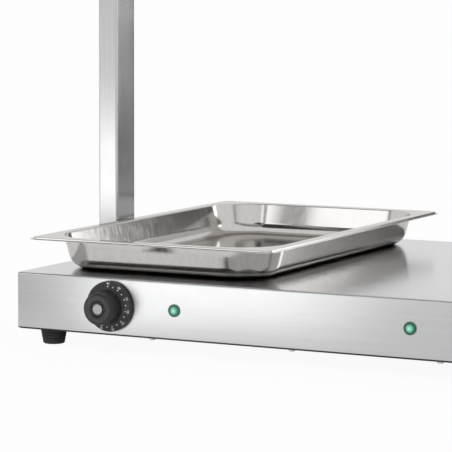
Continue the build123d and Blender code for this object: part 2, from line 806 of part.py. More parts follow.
# Rocker switch of the tubes in the bridge's front face
switch_plane = Plane(origin=(switch_x, switch_front, switch_z), x_dir=(1, 0, 0), z_dir=(0, -1, 0))
trunnion = 1.2
trunnion_reach = 6.6
trunnion_depth = 2.0
with BuildPart() as switch_bezel:
    with BuildSketch(switch_plane):
        RectangleRounded(24, 18, 2)
    extrude(amount=2)
    fillet(switch_bezel.faces().sort_by(Axis.Y)[0].edges(), 0.8)
    with BuildSketch(switch_plane):
        Rectangle(20, 14)
    extrude(amount=-14)
    with BuildSketch(switch_plane.offset(2)):
        Rectangle(18.6, 12.0)
    extrude(amount=-10, mode=Mode.SUBTRACT)
    with BuildSketch(switch_plane.offset(-14)):
        with Locations((-5, 0), (5, 0)):
            Rectangle(0.8, 4.8)
    extrude(amount=-6)
    with BuildSketch(Plane.XY.offset(switch_z - trunnion_reach - 0.2)):
        with Locations((switch_x, switch_front + trunnion_depth)):
            Circle(trunnion + 0.06)
    extrude(amount=2 * trunnion_reach + 0.4, mode=Mode.SUBTRACT)
save(switch_bezel.part, "switch_bezel")

# The rocker tips about two trunnions and rests with its right half pressed in
rocker_tilt = 7.0
rocker_axis = Axis((switch_x, switch_front + trunnion_depth, switch_z), (0, 0, -1))
rocker_level = Plane(
    origin=(switch_x, switch_front + trunnion_depth, switch_z), x_dir=(1, 0, 0), z_dir=(0, 0, -1)
)
with BuildPart() as rocker_flat:
    with BuildSketch(rocker_level.offset(-5.7)):
        with BuildLine():
            Polyline(
                (-8.6, 6.4),
                (-3.0, 5.0),
                (3.0, 5.0),
                (8.6, 6.4),
                (8.6, 0.4),
                (2.4, -2.6),
                (-2.4, -2.6),
                (-8.6, 0.4),
                close=True,
            )
        make_face()
    extrude(amount=11.4)
    with BuildSketch(rocker_level.offset(-trunnion_reach)):
        Circle(trunnion)
    extrude(amount=2 * trunnion_reach)

with BuildPart() as rocker:
    add(rocker_flat.part.rotate(rocker_axis, -rocker_tilt))
save(rocker.part, "rocker")

# Food pan: drawn steel with sloping walls, a rounded floor edge and a stepped rim
pan_x = -side_x + pan_gap + pan_width / 2
pan_y = front_y + pan_front_gap + pan_length / 2
pan_rim = plate_z + pan_depth
rim_width = 13.0
rim_step = 3.0
rim_roll = 1.6
rim_corner = 10.0
wall_lean = 15.0
floor_radius = 15.0
floor_corner = 38.0
floor_draft = pan_depth * tan(radians(wall_lean))
mouth_corner = floor_corner + floor_draft
flange_w = pan_width - 2 * pan_lip
flange_l = pan_length - 2 * pan_lip
mouth_w = flange_w - 2 * rim_width
mouth_l = flange_l - 2 * rim_width
floor_w = mouth_w - 2 * floor_draft
floor_l = mouth_l - 2 * floor_draft


def mouth_edges(pan, level):
    """Edges of the pan's mouth at one height, leaving out those of the outer rim."""
    found = pan.edges().filter_by_position(Axis.Z, level - 0.02, level + 0.02)
    return [
        edge
        for edge in found
        if abs(edge.center().X - pan_x) < flange_w / 2 - rim_width / 2
        and abs(edge.center().Y - pan_y) < flange_l / 2 - rim_width / 2
    ]


# The hollow of the pan, drawn in by the sheet square to the sloping walls
hollow_inset = pan_sheet / cos(radians(wall_lean)) - pan_sheet * tan(radians(wall_lean))
with BuildPart() as pan_hollow:
    with BuildSketch(Plane.XY.offset(plate_z + pan_sheet)):
        with Locations((pan_x, pan_y)):
            RectangleRounded(
                floor_w - 2 * hollow_inset,
                floor_l - 2 * hollow_inset,
                floor_corner - hollow_inset,
            )
    extrude(amount=pan_depth - pan_sheet, taper=-wall_lean)
    fillet(pan_hollow.faces().sort_by(Axis.Z)[0].edges(), floor_radius - pan_sheet)

with BuildPart() as food_pan:
    with BuildSketch(Plane.XY.offset(plate_z)):
        with Locations((pan_x, pan_y)):
            RectangleRounded(floor_w, floor_l, floor_corner)
    extrude(amount=pan_depth, taper=-wall_lean)
    fillet(food_pan.faces().sort_by(Axis.Z)[0].edges(), floor_radius)
    with BuildSketch(Plane.XY.offset(pan_rim - pan_sheet)):
        with Locations((pan_x, pan_y)):
            RectangleRounded(flange_w, flange_l, rim_corner)
    extrude(amount=pan_sheet)
    fillet(mouth_edges(food_pan, pan_rim - pan_sheet), rim_roll)
    with BuildSketch(Plane.XY.offset(pan_rim - rim_step)):
        with Locations((pan_x, pan_y)):
            RectangleRounded(flange_w, flange_l, rim_corner)
            RectangleRounded(
                flange_w - 2 * pan_sheet,
                flange_l - 2 * pan_sheet,
                rim_corner - pan_sheet,
                mode=Mode.SUBTRACT,
            )
    extrude(amount=rim_step)
    with BuildSketch(Plane.XY.offset(pan_rim - rim_step)):
        with Locations((pan_x, pan_y)):
            RectangleRounded(pan_width, pan_length, rim_corner + pan_lip)
            RectangleRounded(
                flange_w - 2 * pan_sheet,
                flange_l - 2 * pan_sheet,
                rim_corner - pan_sheet,
                mode=Mode.SUBTRACT,
            )
    extrude(amount=pan_sheet)
    add(pan_hollow.part, mode=Mode.SUBTRACT)
    fillet(mouth_edges(food_pan, pan_rim), rim_roll + pan_sheet)
save(food_pan.part, "food_pan")
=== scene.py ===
"""Studio scene of a countertop food warmer.

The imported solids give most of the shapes. This script gives every piece its finish, draws the pan, the
knobs and the heating coils as finer meshes, prints the dials and the rocker, and sets the camera, the
floor and the light. Lengths are metres in the frame of the solids, except in the classes that say that
their sizes are millimetres.
"""

import logging
import math
from collections.abc import Iterable, Sequence
from dataclasses import dataclass
from enum import Enum
from functools import cache, cached_property

import bmesh
import bpy
from mathutils import Matrix, Vector


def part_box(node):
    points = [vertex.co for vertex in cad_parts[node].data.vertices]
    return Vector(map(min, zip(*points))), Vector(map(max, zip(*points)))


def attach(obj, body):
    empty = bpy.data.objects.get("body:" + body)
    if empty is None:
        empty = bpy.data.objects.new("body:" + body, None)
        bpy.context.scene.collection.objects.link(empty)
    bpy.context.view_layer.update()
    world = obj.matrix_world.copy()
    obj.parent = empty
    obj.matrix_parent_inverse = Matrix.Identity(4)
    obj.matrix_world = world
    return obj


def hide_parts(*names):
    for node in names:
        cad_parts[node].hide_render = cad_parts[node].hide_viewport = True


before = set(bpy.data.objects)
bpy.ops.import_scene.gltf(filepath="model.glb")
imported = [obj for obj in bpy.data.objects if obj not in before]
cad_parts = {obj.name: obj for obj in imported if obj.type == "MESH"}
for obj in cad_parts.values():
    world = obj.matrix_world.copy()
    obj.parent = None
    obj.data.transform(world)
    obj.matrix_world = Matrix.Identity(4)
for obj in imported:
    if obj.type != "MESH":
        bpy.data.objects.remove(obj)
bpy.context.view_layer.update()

LOG = logging.getLogger("food_warmer")
MM = 0.001
WHITE = (1.0, 1.0, 1.0, 1.0)
# Part of its range that noise mostly fills
NOISE_SPAN = (0.3, 0.7)
# Weight at which large flat faces set the normals beside small roundings
FLAT_FACES_FIRST = 100
# Millimetres by which print stands over its face
PRINT_LIFT = 0.05
# Text size for each millimetre of a figure's height
TEXT_SIZE = 1.36

Colour = tuple[float, float, float]
Spot = tuple[float, float, float]
Pair = tuple[float, float]
Socket = bpy.types.NodeSocket
Plug = Socket | float | Sequence[float]


class Side(Enum):
    """The two halves of the warmer, as a sign along X."""

    LEFT = -1
    RIGHT = 1

    @property
    def word(self) -> str:
        """Name of the half as it stands in node names."""
        return self.name.lower()


class Grain(Enum):
    """Way the brushing runs, as noise cycles per metre along X, Y and Z."""

    ALONG_X = (9.0, 1500.0, 1500.0)
    ALONG_Z = (1500.0, 1500.0, 9.0)


class Slot(Enum):
    """Material slots of the record for the new pieces; nothing in this script uses them."""

    POLISHED_STEEL = "polished_steel"
    BLACK_PLASTIC = "black_plastic"
    WHITE_PRINT = "white_print"
    HEATING_WIRE = "heating_wire"


def opaque(colour: Plug) -> Plug:
    """A plain colour with full alpha; anything else as it is."""
    return (*colour, 1.0) if isinstance(colour, tuple) and len(colour) == 3 else colour


class Bench:
    """Places the nodes of one tree and wires them."""

    def __init__(self, tree: bpy.types.NodeTree) -> None:
        """Keeps the tree to work on."""
        self.tree = tree

    def node(self, kind: str, plugs: dict | None = None, **settings: object) -> bpy.types.Node:
        """Adds one node.

        Args:
            kind: the node's type name.
            plugs: input sockets and what goes into each.
            settings: the node's own attributes.

        Returns:
            The new node.
        """
        made = self.tree.nodes.new(kind)
        for key, value in settings.items():
            setattr(made, key, value)
        for key, value in (plugs or {}).items():
            self.feed(made.inputs[key], value)
        return made

    def feed(self, socket: Socket, value: Plug) -> None:
        """Links a socket or sets its value.

        Args:
            socket: the input.
            value: another node's output, or a plain number, vector or colour.
        """
        if isinstance(value, Socket):
            self.tree.links.new(value, socket)
        else:
            socket.default_value = value

    def maths(self, operation: str, first: Plug, second: Plug = 0.0) -> Socket:
        """Output of one Math node."""
        return self.node("ShaderNodeMath", {0: first, 1: second}, operation=operation).outputs[0]

    def times(self, first: Plug, second: Plug) -> Socket:
        """Product of two values."""
        return self.maths("MULTIPLY", first, second)

    def add(self, *terms: Plug) -> Socket:
        """Sums up values.

        Args:
            terms: two or more of them.

        Returns:
            Their sum.
        """
        total = terms[0]
        for term in terms[1:]:
            total = self.maths("ADD", total, term)
        return total

    def remap(self, value: Plug, low: float, high: float, new_low: float, new_high: float) -> Socket:
        """Value moved from one span to another and held inside."""
        spans = {"Value": value, "From Min": low, "From Max": high, "To Min": new_low, "To Max": new_high}
        return self.node("ShaderNodeMapRange", spans, clamp=True).outputs["Result"]

    def mask(self, value: Plug, low: float, high: float) -> Socket:
        """Mask that goes from 0 to 1 as a value goes from low to high."""
        return self.remap(value, low, high, 0.0, 1.0)

    def between(self, mask: Plug, low: float, high: float) -> Socket:
        """Value that goes from low to high as a mask goes from 0 to 1."""
        return self.remap(mask, 0.0, 1.0, low, high)

    def spread(self, noise: Plug, low: float, high: float) -> Socket:
        """Noise moved from the span that it mostly fills to another."""
        return self.remap(noise, *NOISE_SPAN, low, high)

    def tint(self, factor: Plug, low: Plug, high: Plug, way: str = "MIX") -> Socket:
        """Mix of two colours, the first at factor 0 and the second at 1."""
        plugs = {"Factor": factor, 6: opaque(low), 7: opaque(high)}
        return self.node("ShaderNodeMix", plugs, data_type="RGBA", blend_type=way).outputs[2]

    def toned(self, colour: Colour, shade: Socket) -> Socket:
        """Colour made darker or lighter by a grey."""
        return self.tint(1.0, colour, shade, "MULTIPLY")

    def place(self, stretch: Plug = (1.0, 1.0, 1.0)) -> Socket:
        """Object coordinates in metres, stretched by one factor per axis."""
        where = self.node("ShaderNodeTexCoord").outputs["Object"]
        return self.node("ShaderNodeVectorMath", {0: where, 1: stretch}, operation="MULTIPLY").outputs[0]

    def along(self, axis: str) -> Socket:
        """One of the object's coordinates, in metres."""
        return self.node("ShaderNodeSeparateXYZ", {0: self.place()}).outputs[axis]

    def from_axis(self, x: float, z: float) -> Socket:
        """Distance in metres from the axis of a front control, on the left and the right half alike."""
        across, rise = self.add(self.maths("ABSOLUTE", self.along("X")), -x), self.add(self.along("Z"), -z)
        return self.maths("SQRT", self.add(self.maths("POWER", across, 2.0), self.maths("POWER", rise, 2.0)))

    def facing(self) -> Socket:
        """Height of the unit normal on the object itself: 1 on a face turned up, -1 turned down."""
        normal = self.node("ShaderNodeTexCoord").outputs["Normal"]
        return self.node("ShaderNodeSeparateXYZ", {0: normal}).outputs["Z"]

    def upward(self, low: float, high: float) -> Socket:
        """Mask of faces turned upwards, between two heights of the unit normal."""
        return self.mask(self.facing(), low, high)

    def noise(self, scale: Plug, detail: float, rough: float, where: Socket | None = None) -> Socket:
        """Grey noise from 0 to 1, over the object's coordinates or another place."""
        plugs = {"Vector": where or self.place(), "Scale": scale, "Detail": detail, "Roughness": rough}
        return self.node("ShaderNodeTexNoise", plugs).outputs[0]

    def cells(self, scale: Plug, output: str = "Distance") -> Socket:
        """Cell pattern over the object's coordinates."""
        return self.node("ShaderNodeTexVoronoi", {"Vector": self.place(), "Scale": scale}).outputs[output]


class Effect(Enum):
    """Effects that several finishes share, each a node group made once."""

    BRUSHED = "brushed_grain"
    SMEARED = "wiped_smears"
    MOULDED = "moulded_skin"
    RUBBED = "rubbed_edges"
    DUSTED = "settled_dust"

    @property
    def tree(self) -> bpy.types.NodeTree:
        """The group's node tree, built on first use."""
        return bpy.data.node_groups.get(self.value) or EffectMaker(self).tree


class EffectMaker(Bench):
    """Builds one shared effect as a node group with named inputs and outputs."""

    def __init__(self, effect: Effect) -> None:
        """Makes the group by the method that has the effect's name."""
        super().__init__(bpy.data.node_groups.new(effect.value, "ShaderNodeTree"))
        getattr(self, effect.name.lower())()

    def entry(self, name: str, value: Plug) -> Socket:
        """Adds an input to the group.

        Args:
            name: the input's name.
            value: the number or vector that it holds when nothing is set.

        Returns:
            The socket to wire from.
        """
        kind = "NodeSocketFloat" if isinstance(value, float) else "NodeSocketVector"
        self.tree.interface.new_socket(name, in_out="INPUT", socket_type=kind).default_value = value
        return self.node("NodeGroupInput").outputs[name]

    def leave(self, **results: Socket) -> None:
        """Adds the group's outputs, each a grey value.

        Args:
            results: output names and what feeds them.
        """
        for name in results:
            self.tree.interface.new_socket(name, in_out="OUTPUT", socket_type="NodeSocketFloat")
        self.node("NodeGroupOutput", results)

    def brushed(self) -> None:
        """Fine parallel scratches: a line pattern and slow clouds across the sheet."""
        where = self.place(self.entry("Stretch", Grain.ALONG_X.value))
        fine = self.times(self.noise(1.0, 2.0, 0.6, where), 0.6)
        coarse = self.times(self.noise(0.16, 2.0, 0.5, where), 0.4)
        self.leave(Line=self.add(fine, coarse), Cloud=self.noise(4.0, 2.0, 0.5))

    def smeared(self) -> None:
        """Wiped smears with a fine speckle in them."""
        scale = self.entry("Scale", 14.0)
        smear = self.mask(self.noise(scale, 5.0, 0.62, self.place((1.0, 0.6, 1.4))), 0.45, 0.72)
        speckle = self.noise(self.times(scale, 9.0), 2.0, 0.5)
        self.leave(Mask=self.times(smear, self.spread(speckle, 0.4, 1.0)))

    def moulded(self) -> None:
        """Fine pitted skin of a moulding and slow clouds of gloss."""
        scale = self.entry("Scale", 2600.0)
        cloud = self.noise(self.times(scale, 0.04), 4.0, 0.6)
        self.leave(Height=self.cells(scale), Cloud=cloud)

    def rubbed(self) -> None:
        """Mask of worn outer edges, broken up by noise."""
        soft = self.node("ShaderNodeBevel", {"Radius": self.entry("Radius", 0.001)}, samples=4).outputs[0]
        flat = self.node("ShaderNodeNewGeometry").outputs["Normal"]
        likeness = self.node("ShaderNodeVectorMath", {0: soft, 1: flat}, operation="DOT_PRODUCT")
        broken = self.remap(self.noise(420.0, 3.0, 0.6), 0.35, 0.65, 0.2, 1.0)
        self.leave(Mask=self.times(self.mask(likeness.outputs["Value"], 0.995, 0.88), broken))

    def dusted(self) -> None:
        """Mask of dust that settles on faces turned upwards."""
        patch = self.mask(self.noise(self.entry("Scale", 90.0), 5.0, 0.65), 0.4, 0.75)
        self.leave(Mask=self.times(patch, self.upward(0.2, 0.9)))


class Paint(Bench):
    """One Principled material in the making."""

    def __init__(self, name: str) -> None:
        """Starts an empty material.

        Args:
            name: the material's name.
        """
        self.made = bpy.data.materials.new(name)
        self.made.use_nodes = True
        self.made.node_tree.nodes.clear()
        super().__init__(self.made.node_tree)
        self.shader = self.node("ShaderNodeBsdfPrincipled")
        self.output = self.node("ShaderNodeOutputMaterial", {"Surface": self.shader.outputs[0]})

    def shade(self, **values: Plug) -> None:
        """Sets or links inputs of the shader, with underscores for spaces."""
        for name, value in values.items():
            self.feed(self.shader.inputs[name.replace("_", " ")], opaque(value))

    def effect(self, effect: Effect, **values: Plug) -> bpy.types.NodeOutputs:
        """Outputs of a shared effect, placed here with its own values."""
        return self.node("ShaderNodeGroup", values, node_tree=effect.tree).outputs

    def bump(self, height: Socket, depth: float, strength: float) -> None:
        """Feeds the normal from a grey height whose low and high lie so many metres apart."""
        plugs = {"Height": height, "Distance": depth, "Strength": strength}
        self.shade(Normal=self.node("ShaderNodeBump", plugs).outputs[0])


@dataclass(frozen=True)
class Finish:
    """A surface finish; each kind lays its own nodes."""

    name: str

    @cache
    def material(self) -> bpy.types.Material:
        """The finish's material, made on first use and shared by equal finishes."""
        self.lay()
        return self.paint.made

    @cached_property
    def paint(self) -> Paint:
        """The material in the making."""
        return Paint(self.name)

    def lay(self) -> None:
        """Lays the nodes; filled in by each kind."""
        raise NotImplementedError


@dataclass(frozen=True)
class BrushedSteel(Finish):
    """Satin stainless sheet: parallel grain on the walls, more gloss on faces turned up."""

    grain: Grain = Grain.ALONG_X
    colour: Colour = (0.52, 0.522, 0.526)
    edge: Colour = (0.9, 0.9, 0.9)
    wall_rough: float = 0.30
    plate_rough: float = 0.15
    # Painted shade: below this height the colour is darkened to a share, over a soft band
    painted_fold_shade_top: float = 0.0
    painted_fold_shade_blur: float = 0.4 * MM
    painted_fold_shade_share: float = 0.08

    def lay(self) -> None:
        """Grain in colour, roughness and relief, with wiped smears over it and painted shade on the fold low
        down.
        """
        paint = self.paint
        grain = paint.effect(Effect.BRUSHED, Stretch=self.grain.value)
        smear = paint.effect(Effect.SMEARED, Scale=9.0)["Mask"]
        shade = paint.times(paint.spread(grain["Line"], 0.94, 1.05), paint.spread(grain["Cloud"], 0.98, 1.02))
        # Painted shade: the colour goes dark below the fold's height
        low = paint.remap(paint.along("Z"), self.painted_fold_shade_top - self.painted_fold_shade_blur, self.painted_fold_shade_top, self.painted_fold_shade_share, 1.0)
        even = paint.between(paint.upward(0.6, 0.95), self.wall_rough, self.plate_rough)
        streak = paint.spread(grain["Line"], -0.03, 0.03)
        paint.shade(
            Metallic=1.0,
            Base_Color=paint.toned(self.colour, paint.times(shade, low)),
            Roughness=paint.add(even, streak, paint.times(smear, 0.04)),
            Specular_Tint=self.edge,
        )
        paint.bump(grain["Line"], depth=3e-6, strength=0.6)


@dataclass(frozen=True)
class DrawnSteel(Finish):
    """Polished deep-drawn sheet with faint draw lines up the walls and wiped smears."""

    colour: Colour = (0.56, 0.545, 0.53)
    edge: Colour = (0.8, 0.79, 0.78)
    rough: float = 0.13

    def lay(self) -> None:
        """Smears in the gloss, soft waviness left by the press in the relief."""
        paint = self.paint
        smear = paint.effect(Effect.SMEARED, Scale=16.0)["Mask"]
        lines = paint.noise(1.0, 2.0, 0.5, paint.place((260.0, 260.0, 6.0)))
        wave = paint.noise(16.0, 2.0, 0.4)
        paint.shade(
            Metallic=1.0,
            Base_Color=paint.toned(self.colour, paint.spread(lines, 0.96, 1.03)),
            Roughness=paint.add(paint.spread(lines, -0.02, 0.025), self.rough, paint.times(smear, 0.05)),
            Specular_Tint=self.edge,
        )
        paint.bump(paint.add(wave, paint.times(lines, 0.01)), depth=1.6e-4, strength=0.3)


@dataclass(frozen=True)
class SpangledZinc(Finish):
    """Galvanised sheet with its pattern of zinc crystals."""

    colour: Colour = (0.55, 0.56, 0.575)
    # Colour of the painted shade on steep faces
    dark: Colour = (0.018, 0.017, 0.016)
    dust: Colour = (0.42, 0.41, 0.39)
    crystals: float = 130.0
    # Share of painted shade on steep faces
    oxide_and_shade: float = 0.0

    def lay(self) -> None:
        """Each crystal has its own grey and gloss; steep faces, such as the sheet's cut edges, are painted
        dark as shade.
        """
        paint = self.paint
        crystal = paint.node("ShaderNodeSeparateColor", {0: paint.cells(self.crystals, "Color")}).outputs[0]
        dust = paint.effect(Effect.DUSTED, Scale=60.0)["Mask"]
        sheet = paint.toned(self.colour, paint.between(crystal, 0.82, 1.12))
        # Painted shade: steep faces darken towards the dark colour
        level = paint.maths("ABSOLUTE", paint.facing())
        sheet = paint.tint(paint.spread(level, self.oxide_and_shade, 0.0), sheet, self.dark)
        paint.shade(
            Metallic=1.0,
            Base_Color=paint.tint(paint.times(dust, 0.35), sheet, self.dust),
            Roughness=paint.add(paint.between(crystal, 0.28, 0.46), paint.times(dust, 0.2)),
        )
        paint.bump(crystal, depth=4e-6, strength=0.5)


@dataclass(frozen=True)
class PlatedSteel(Finish):
    """Zinc or nickel plating on fasteners and wire, duller in patches and bright on its edges."""

    colour: Colour = (0.62, 0.615, 0.6)
    dull: Colour = (0.5, 0.48, 0.43)
    bright: Colour = (0.72, 0.72, 0.72)
    rough: float = 0.26

    def lay(self) -> None:
        """Plating clouds in colour and gloss with rubbed edges."""
        paint = self.paint
        patch = paint.mask(paint.noise(160.0, 4.0, 0.6), 0.38, 0.68)
        worn = paint.effect(Effect.RUBBED, Radius=0.6 * MM)["Mask"]
        plate = paint.tint(paint.times(patch, 0.6), self.colour, self.dull)
        paint.shade(
            Metallic=1.0,
            Base_Color=paint.tint(paint.times(worn, 0.5), plate, self.bright),
            Roughness=paint.add(paint.times(patch, 0.14), self.rough),
        )
        paint.bump(paint.noise(2400.0, 2.0, 0.5), depth=3e-6, strength=0.5)


@dataclass(frozen=True)
class MouldedPlastic(Finish):
    """Black moulding with a fine pitted skin, polished by hands on its edges."""

    colour: Colour = (0.022, 0.022, 0.024)
    worn: Colour = (0.06, 0.06, 0.062)
    dust: Colour = (0.45, 0.44, 0.42)
    rough: float = 0.42

    def lay(self) -> None:
        """Skin in the relief, clouds in the gloss, greyer edges and a little dust."""
        paint = self.paint
        skin = paint.effect(Effect.MOULDED, Scale=2400.0)
        edge = paint.effect(Effect.RUBBED, Radius=0.8 * MM)["Mask"]
        dust = paint.effect(Effect.DUSTED, Scale=140.0)["Mask"]
        body = paint.tint(paint.times(edge, 0.55), self.colour, self.worn)
        cloud = paint.spread(skin["Cloud"], -0.05, 0.07)
        paint.shade(
            Base_Color=paint.tint(paint.times(dust, 0.03), body, self.dust),
            Roughness=paint.add(cloud, self.rough, paint.times(edge, -0.08)),
            IOR=1.44,
        )
        paint.bump(skin["Height"], depth=2.2e-5, strength=0.45)


@dataclass(frozen=True)
class FootRubber(Finish):
    """Matt black rubber, paler with dust towards the floor."""

    colour: Colour = (0.017, 0.017, 0.018)
    dust: Colour = (0.09, 0.088, 0.084)
    reach: float = 12 * MM

    def lay(self) -> None:
        """Dust by height over a fine pitted skin."""
        paint = self.paint
        skin = paint.effect(Effect.MOULDED, Scale=1900.0)
        low = paint.times(paint.remap(paint.along("Z"), 0.0, self.reach, 0.7, 0.1), skin["Cloud"])
        paint.shade(
            Base_Color=paint.tint(low, self.colour, self.dust),
            Roughness=paint.spread(skin["Cloud"], 0.62, 0.82),
        )
        paint.bump(skin["Height"], depth=3e-5, strength=0.5)


@dataclass(frozen=True)
class SpunSilver(Finish):
    """Small silver disc with turned lines round its middle."""

    middle_x: float
    middle_z: float
    colour: Colour = (0.23, 0.23, 0.23)

    def lay(self) -> None:
        """Rings by the distance from the disc's middle."""
        paint = self.paint
        radius = paint.from_axis(self.middle_x, self.middle_z)
        outward = paint.node("ShaderNodeCombineXYZ", {0: radius}).outputs[0]
        rings = paint.noise(4200.0, 2.0, 0.6, outward)
        paint.shade(
            Metallic=1.0,
            Base_Color=paint.toned(self.colour, paint.spread(rings, 0.8, 1.1)),
            Roughness=paint.spread(rings, 0.24, 0.36),
        )
        paint.bump(rings, depth=4e-6, strength=0.6)


@dataclass(frozen=True)
class LitLens(Finish):
    """Green pilot lens, glowing in its middle and dark at its rim."""

    middle_x: float
    middle_z: float
    reach: float = 7.5 * MM
    glow: Colour = (0.36, 0.88, 0.64)
    green: Colour = (0.17, 0.47, 0.33)
    rim: Colour = (0.006, 0.045, 0.026)
    body: Colour = (0.01, 0.06, 0.035)
    ridge: Colour = (0.015, 0.09, 0.055)

    def lay(self) -> None:
        """Rings of colour by the distance from the lamp's axis, faceted like a pressed lens."""
        paint = self.paint
        share = paint.maths("DIVIDE", paint.from_axis(self.middle_x, self.middle_z), self.reach)
        core = paint.tint(paint.mask(share, 0.05, 0.45), self.glow, self.green)
        facets = paint.cells(900.0)
        paint.shade(
            Base_Color=paint.tint(facets, self.body, self.ridge),
            Emission_Color=paint.tint(paint.mask(share, 0.42, 0.72), core, self.rim),
            Emission_Strength=0.9,
            Roughness=paint.remap(facets, 0.0, 0.6, 0.1, 0.2),
        )
        paint.bump(facets, depth=5e-5, strength=0.35)


@dataclass(frozen=True)
class RolledAluminium(Finish):
    """Bright rolled reflector sheet."""

    colour: Colour = (0.82, 0.82, 0.83)
    heated: Colour = (0.74, 0.7, 0.64)
    stretch: Spot = (5.0, 900.0, 900.0)

    def lay(self) -> None:
        """Roll lines along the sheet and faint heat clouds."""
        paint = self.paint
        grain = paint.effect(Effect.BRUSHED, Stretch=self.stretch)
        cloud = paint.remap(grain["Cloud"], 0.35, 0.7, 0.0, 0.5)
        paint.shade(
            Metallic=1.0,
            Base_Color=paint.tint(cloud, self.colour, self.heated),
            Roughness=paint.spread(grain["Line"], 0.12, 0.24),
        )
        paint.bump(grain["Line"], depth=4e-6, strength=0.5)


@dataclass(frozen=True)
class MilkyQuartz(Finish):
    """Translucent quartz tube with drawn streaks."""

    colour: Colour = (0.93, 0.91, 0.87)
    streaked: Colour = (0.86, 0.84, 0.8)
    stretch: Spot = (12.0, 1600.0, 1600.0)

    def lay(self) -> None:
        """Streaks along the tube in colour and gloss."""
        paint = self.paint
        streak = paint.noise(1.0, 2.0, 0.5, paint.place(self.stretch))
        paint.shade(
            Base_Color=paint.tint(streak, self.colour, self.streaked),
            Roughness=paint.spread(streak, 0.22, 0.42),
            Transmission_Weight=0.7,
            IOR=1.46,
        )
        paint.bump(streak, depth=8e-6, strength=0.5)


@dataclass(frozen=True)
class FiredCeramic(Finish):
    """Unglazed electrical ceramic with specks and handling dirt."""

    colour: Colour = (0.76, 0.73, 0.66)
    mottled: Colour = (0.64, 0.6, 0.53)
    speck: Colour = (0.3, 0.27, 0.23)
    dirt: Colour = (0.4, 0.37, 0.33)

    def lay(self) -> None:
        """Mottled body, dark specks and a chalky relief."""
        paint = self.paint
        mottle = paint.noise(180.0, 4.0, 0.6)
        speck = paint.remap(paint.cells(700.0), 0.08, 0.16, 1.0, 0.0)
        dirt = paint.effect(Effect.SMEARED, Scale=40.0)["Mask"]
        body = paint.tint(paint.spread(mottle, 0.0, 0.5), self.colour, self.mottled)
        body = paint.tint(paint.times(speck, 0.5), body, self.speck)
        paint.shade(
            Base_Color=paint.tint(paint.times(dirt, 0.25), body, self.dirt),
            Roughness=paint.spread(mottle, 0.6, 0.8),
        )
        paint.bump(paint.noise(1600.0, 3.0, 0.6), depth=4e-5, strength=0.5)


@dataclass(frozen=True)
class PressedWool(Finish):
    """Mineral wool board of short tangled fibres."""

    colour: Colour = (0.52, 0.44, 0.27)
    deep: Colour = (0.36, 0.3, 0.18)

    def lay(self) -> None:
        """Two crossed fibre patterns in colour and relief."""
        paint = self.paint
        along = paint.noise(1.0, 4.0, 0.7, paint.place((90.0, 900.0, 500.0)))
        across = paint.noise(1.0, 4.0, 0.7, paint.place((900.0, 110.0, 500.0)))
        fibre = paint.maths("MAXIMUM", along, across)
        paint.shade(
            Base_Color=paint.tint(paint.mask(fibre, 0.4, 0.75), self.deep, self.colour),
            Roughness=paint.remap(fibre, 0.4, 0.75, 0.98, 0.85),
            Sheen_Weight=0.3,
        )
        paint.bump(fibre, depth=6e-4, strength=0.8)


@dataclass(frozen=True)
class HeatingFoil(Finish):
    """Crinkled aluminium foil with the heating cable standing out in rows."""

    colour: Colour = (0.7, 0.68, 0.65)
    cable: Colour = (0.55, 0.5, 0.46)
    pitch: float = 22 * MM

    def lay(self) -> None:
        """Rows of cable and crinkles share one relief."""
        paint = self.paint
        saw = paint.maths("FRACT", paint.maths("DIVIDE", paint.along("X"), self.pitch))
        row = paint.remap(paint.maths("ABSOLUTE", paint.add(saw, -0.5)), 0.02, 0.09, 1.0, 0.0)
        crinkle = paint.cells(140.0)
        paint.shade(
            Metallic=1.0,
            Base_Color=paint.tint(row, self.colour, self.cable),
            Roughness=paint.remap(crinkle, 0.0, 0.6, 0.22, 0.4),
        )
        paint.bump(paint.add(row, paint.times(crinkle, 0.3)), depth=6e-4, strength=0.7)


@dataclass(frozen=True)
class DrawnCopper(Finish):
    """Capillary copper with brown oxide in patches."""

    colour: Colour = (0.72, 0.42, 0.27)
    brown: Colour = (0.3, 0.15, 0.09)

    def lay(self) -> None:
        """Oxide patches dull the metal."""
        paint = self.paint
        oxide_and_shade = paint.mask(paint.noise(120.0, 5.0, 0.65), 0.4, 0.7)
        paint.shade(
            Metallic=1.0,
            Base_Color=paint.tint(paint.times(oxide_and_shade, 0.7), self.colour, self.brown),
            Roughness=paint.between(oxide_and_shade, 0.2, 0.45),
        )
        paint.bump(paint.noise(2000.0, 2.0, 0.5), depth=3e-6, strength=0.5)


@dataclass(frozen=True)
class GlowingWire(Finish):
    """Oxidised resistance wire with the dull glow of a tube that is on."""

    colour: Colour = (0.11, 0.06, 0.045)
    scaled: Colour = (0.2, 0.12, 0.09)
    dim: Colour = (0.75, 0.16, 0.03)
    hot: Colour = (1.0, 0.34, 0.08)

    def lay(self) -> None:
        """Scale on the wire and an uneven glow through it."""
        paint = self.paint
        scale = paint.noise(300.0, 4.0, 0.6)
        paint.shade(
            Base_Color=paint.tint(scale, self.colour, self.scaled),
            Roughness=paint.spread(scale, 0.5, 0.8),
            Emission_Color=paint.tint(scale, self.dim, self.hot),
            Emission_Strength=0.8,
        )
        paint.bump(scale, depth=5e-5, strength=0.5)


@dataclass(frozen=True)
class WhitePrint(Finish):
    """White pad-printed ink, thinner in spots."""

    colour: Colour = (0.8, 0.8, 0.79)
    thinned: Colour = (0.35, 0.35, 0.35)

    def lay(self) -> None:
        """Ink that fades in fine spots."""
        paint = self.paint
        thin = paint.remap(paint.noise(2200.0, 3.0, 0.6), 0.55, 0.75, 0.0, 0.5)
        paint.shade(
            Base_Color=paint.tint(thin, self.colour, self.thinned),
            Roughness=paint.remap(thin, 0.0, 0.5, 0.45, 0.6),
        )
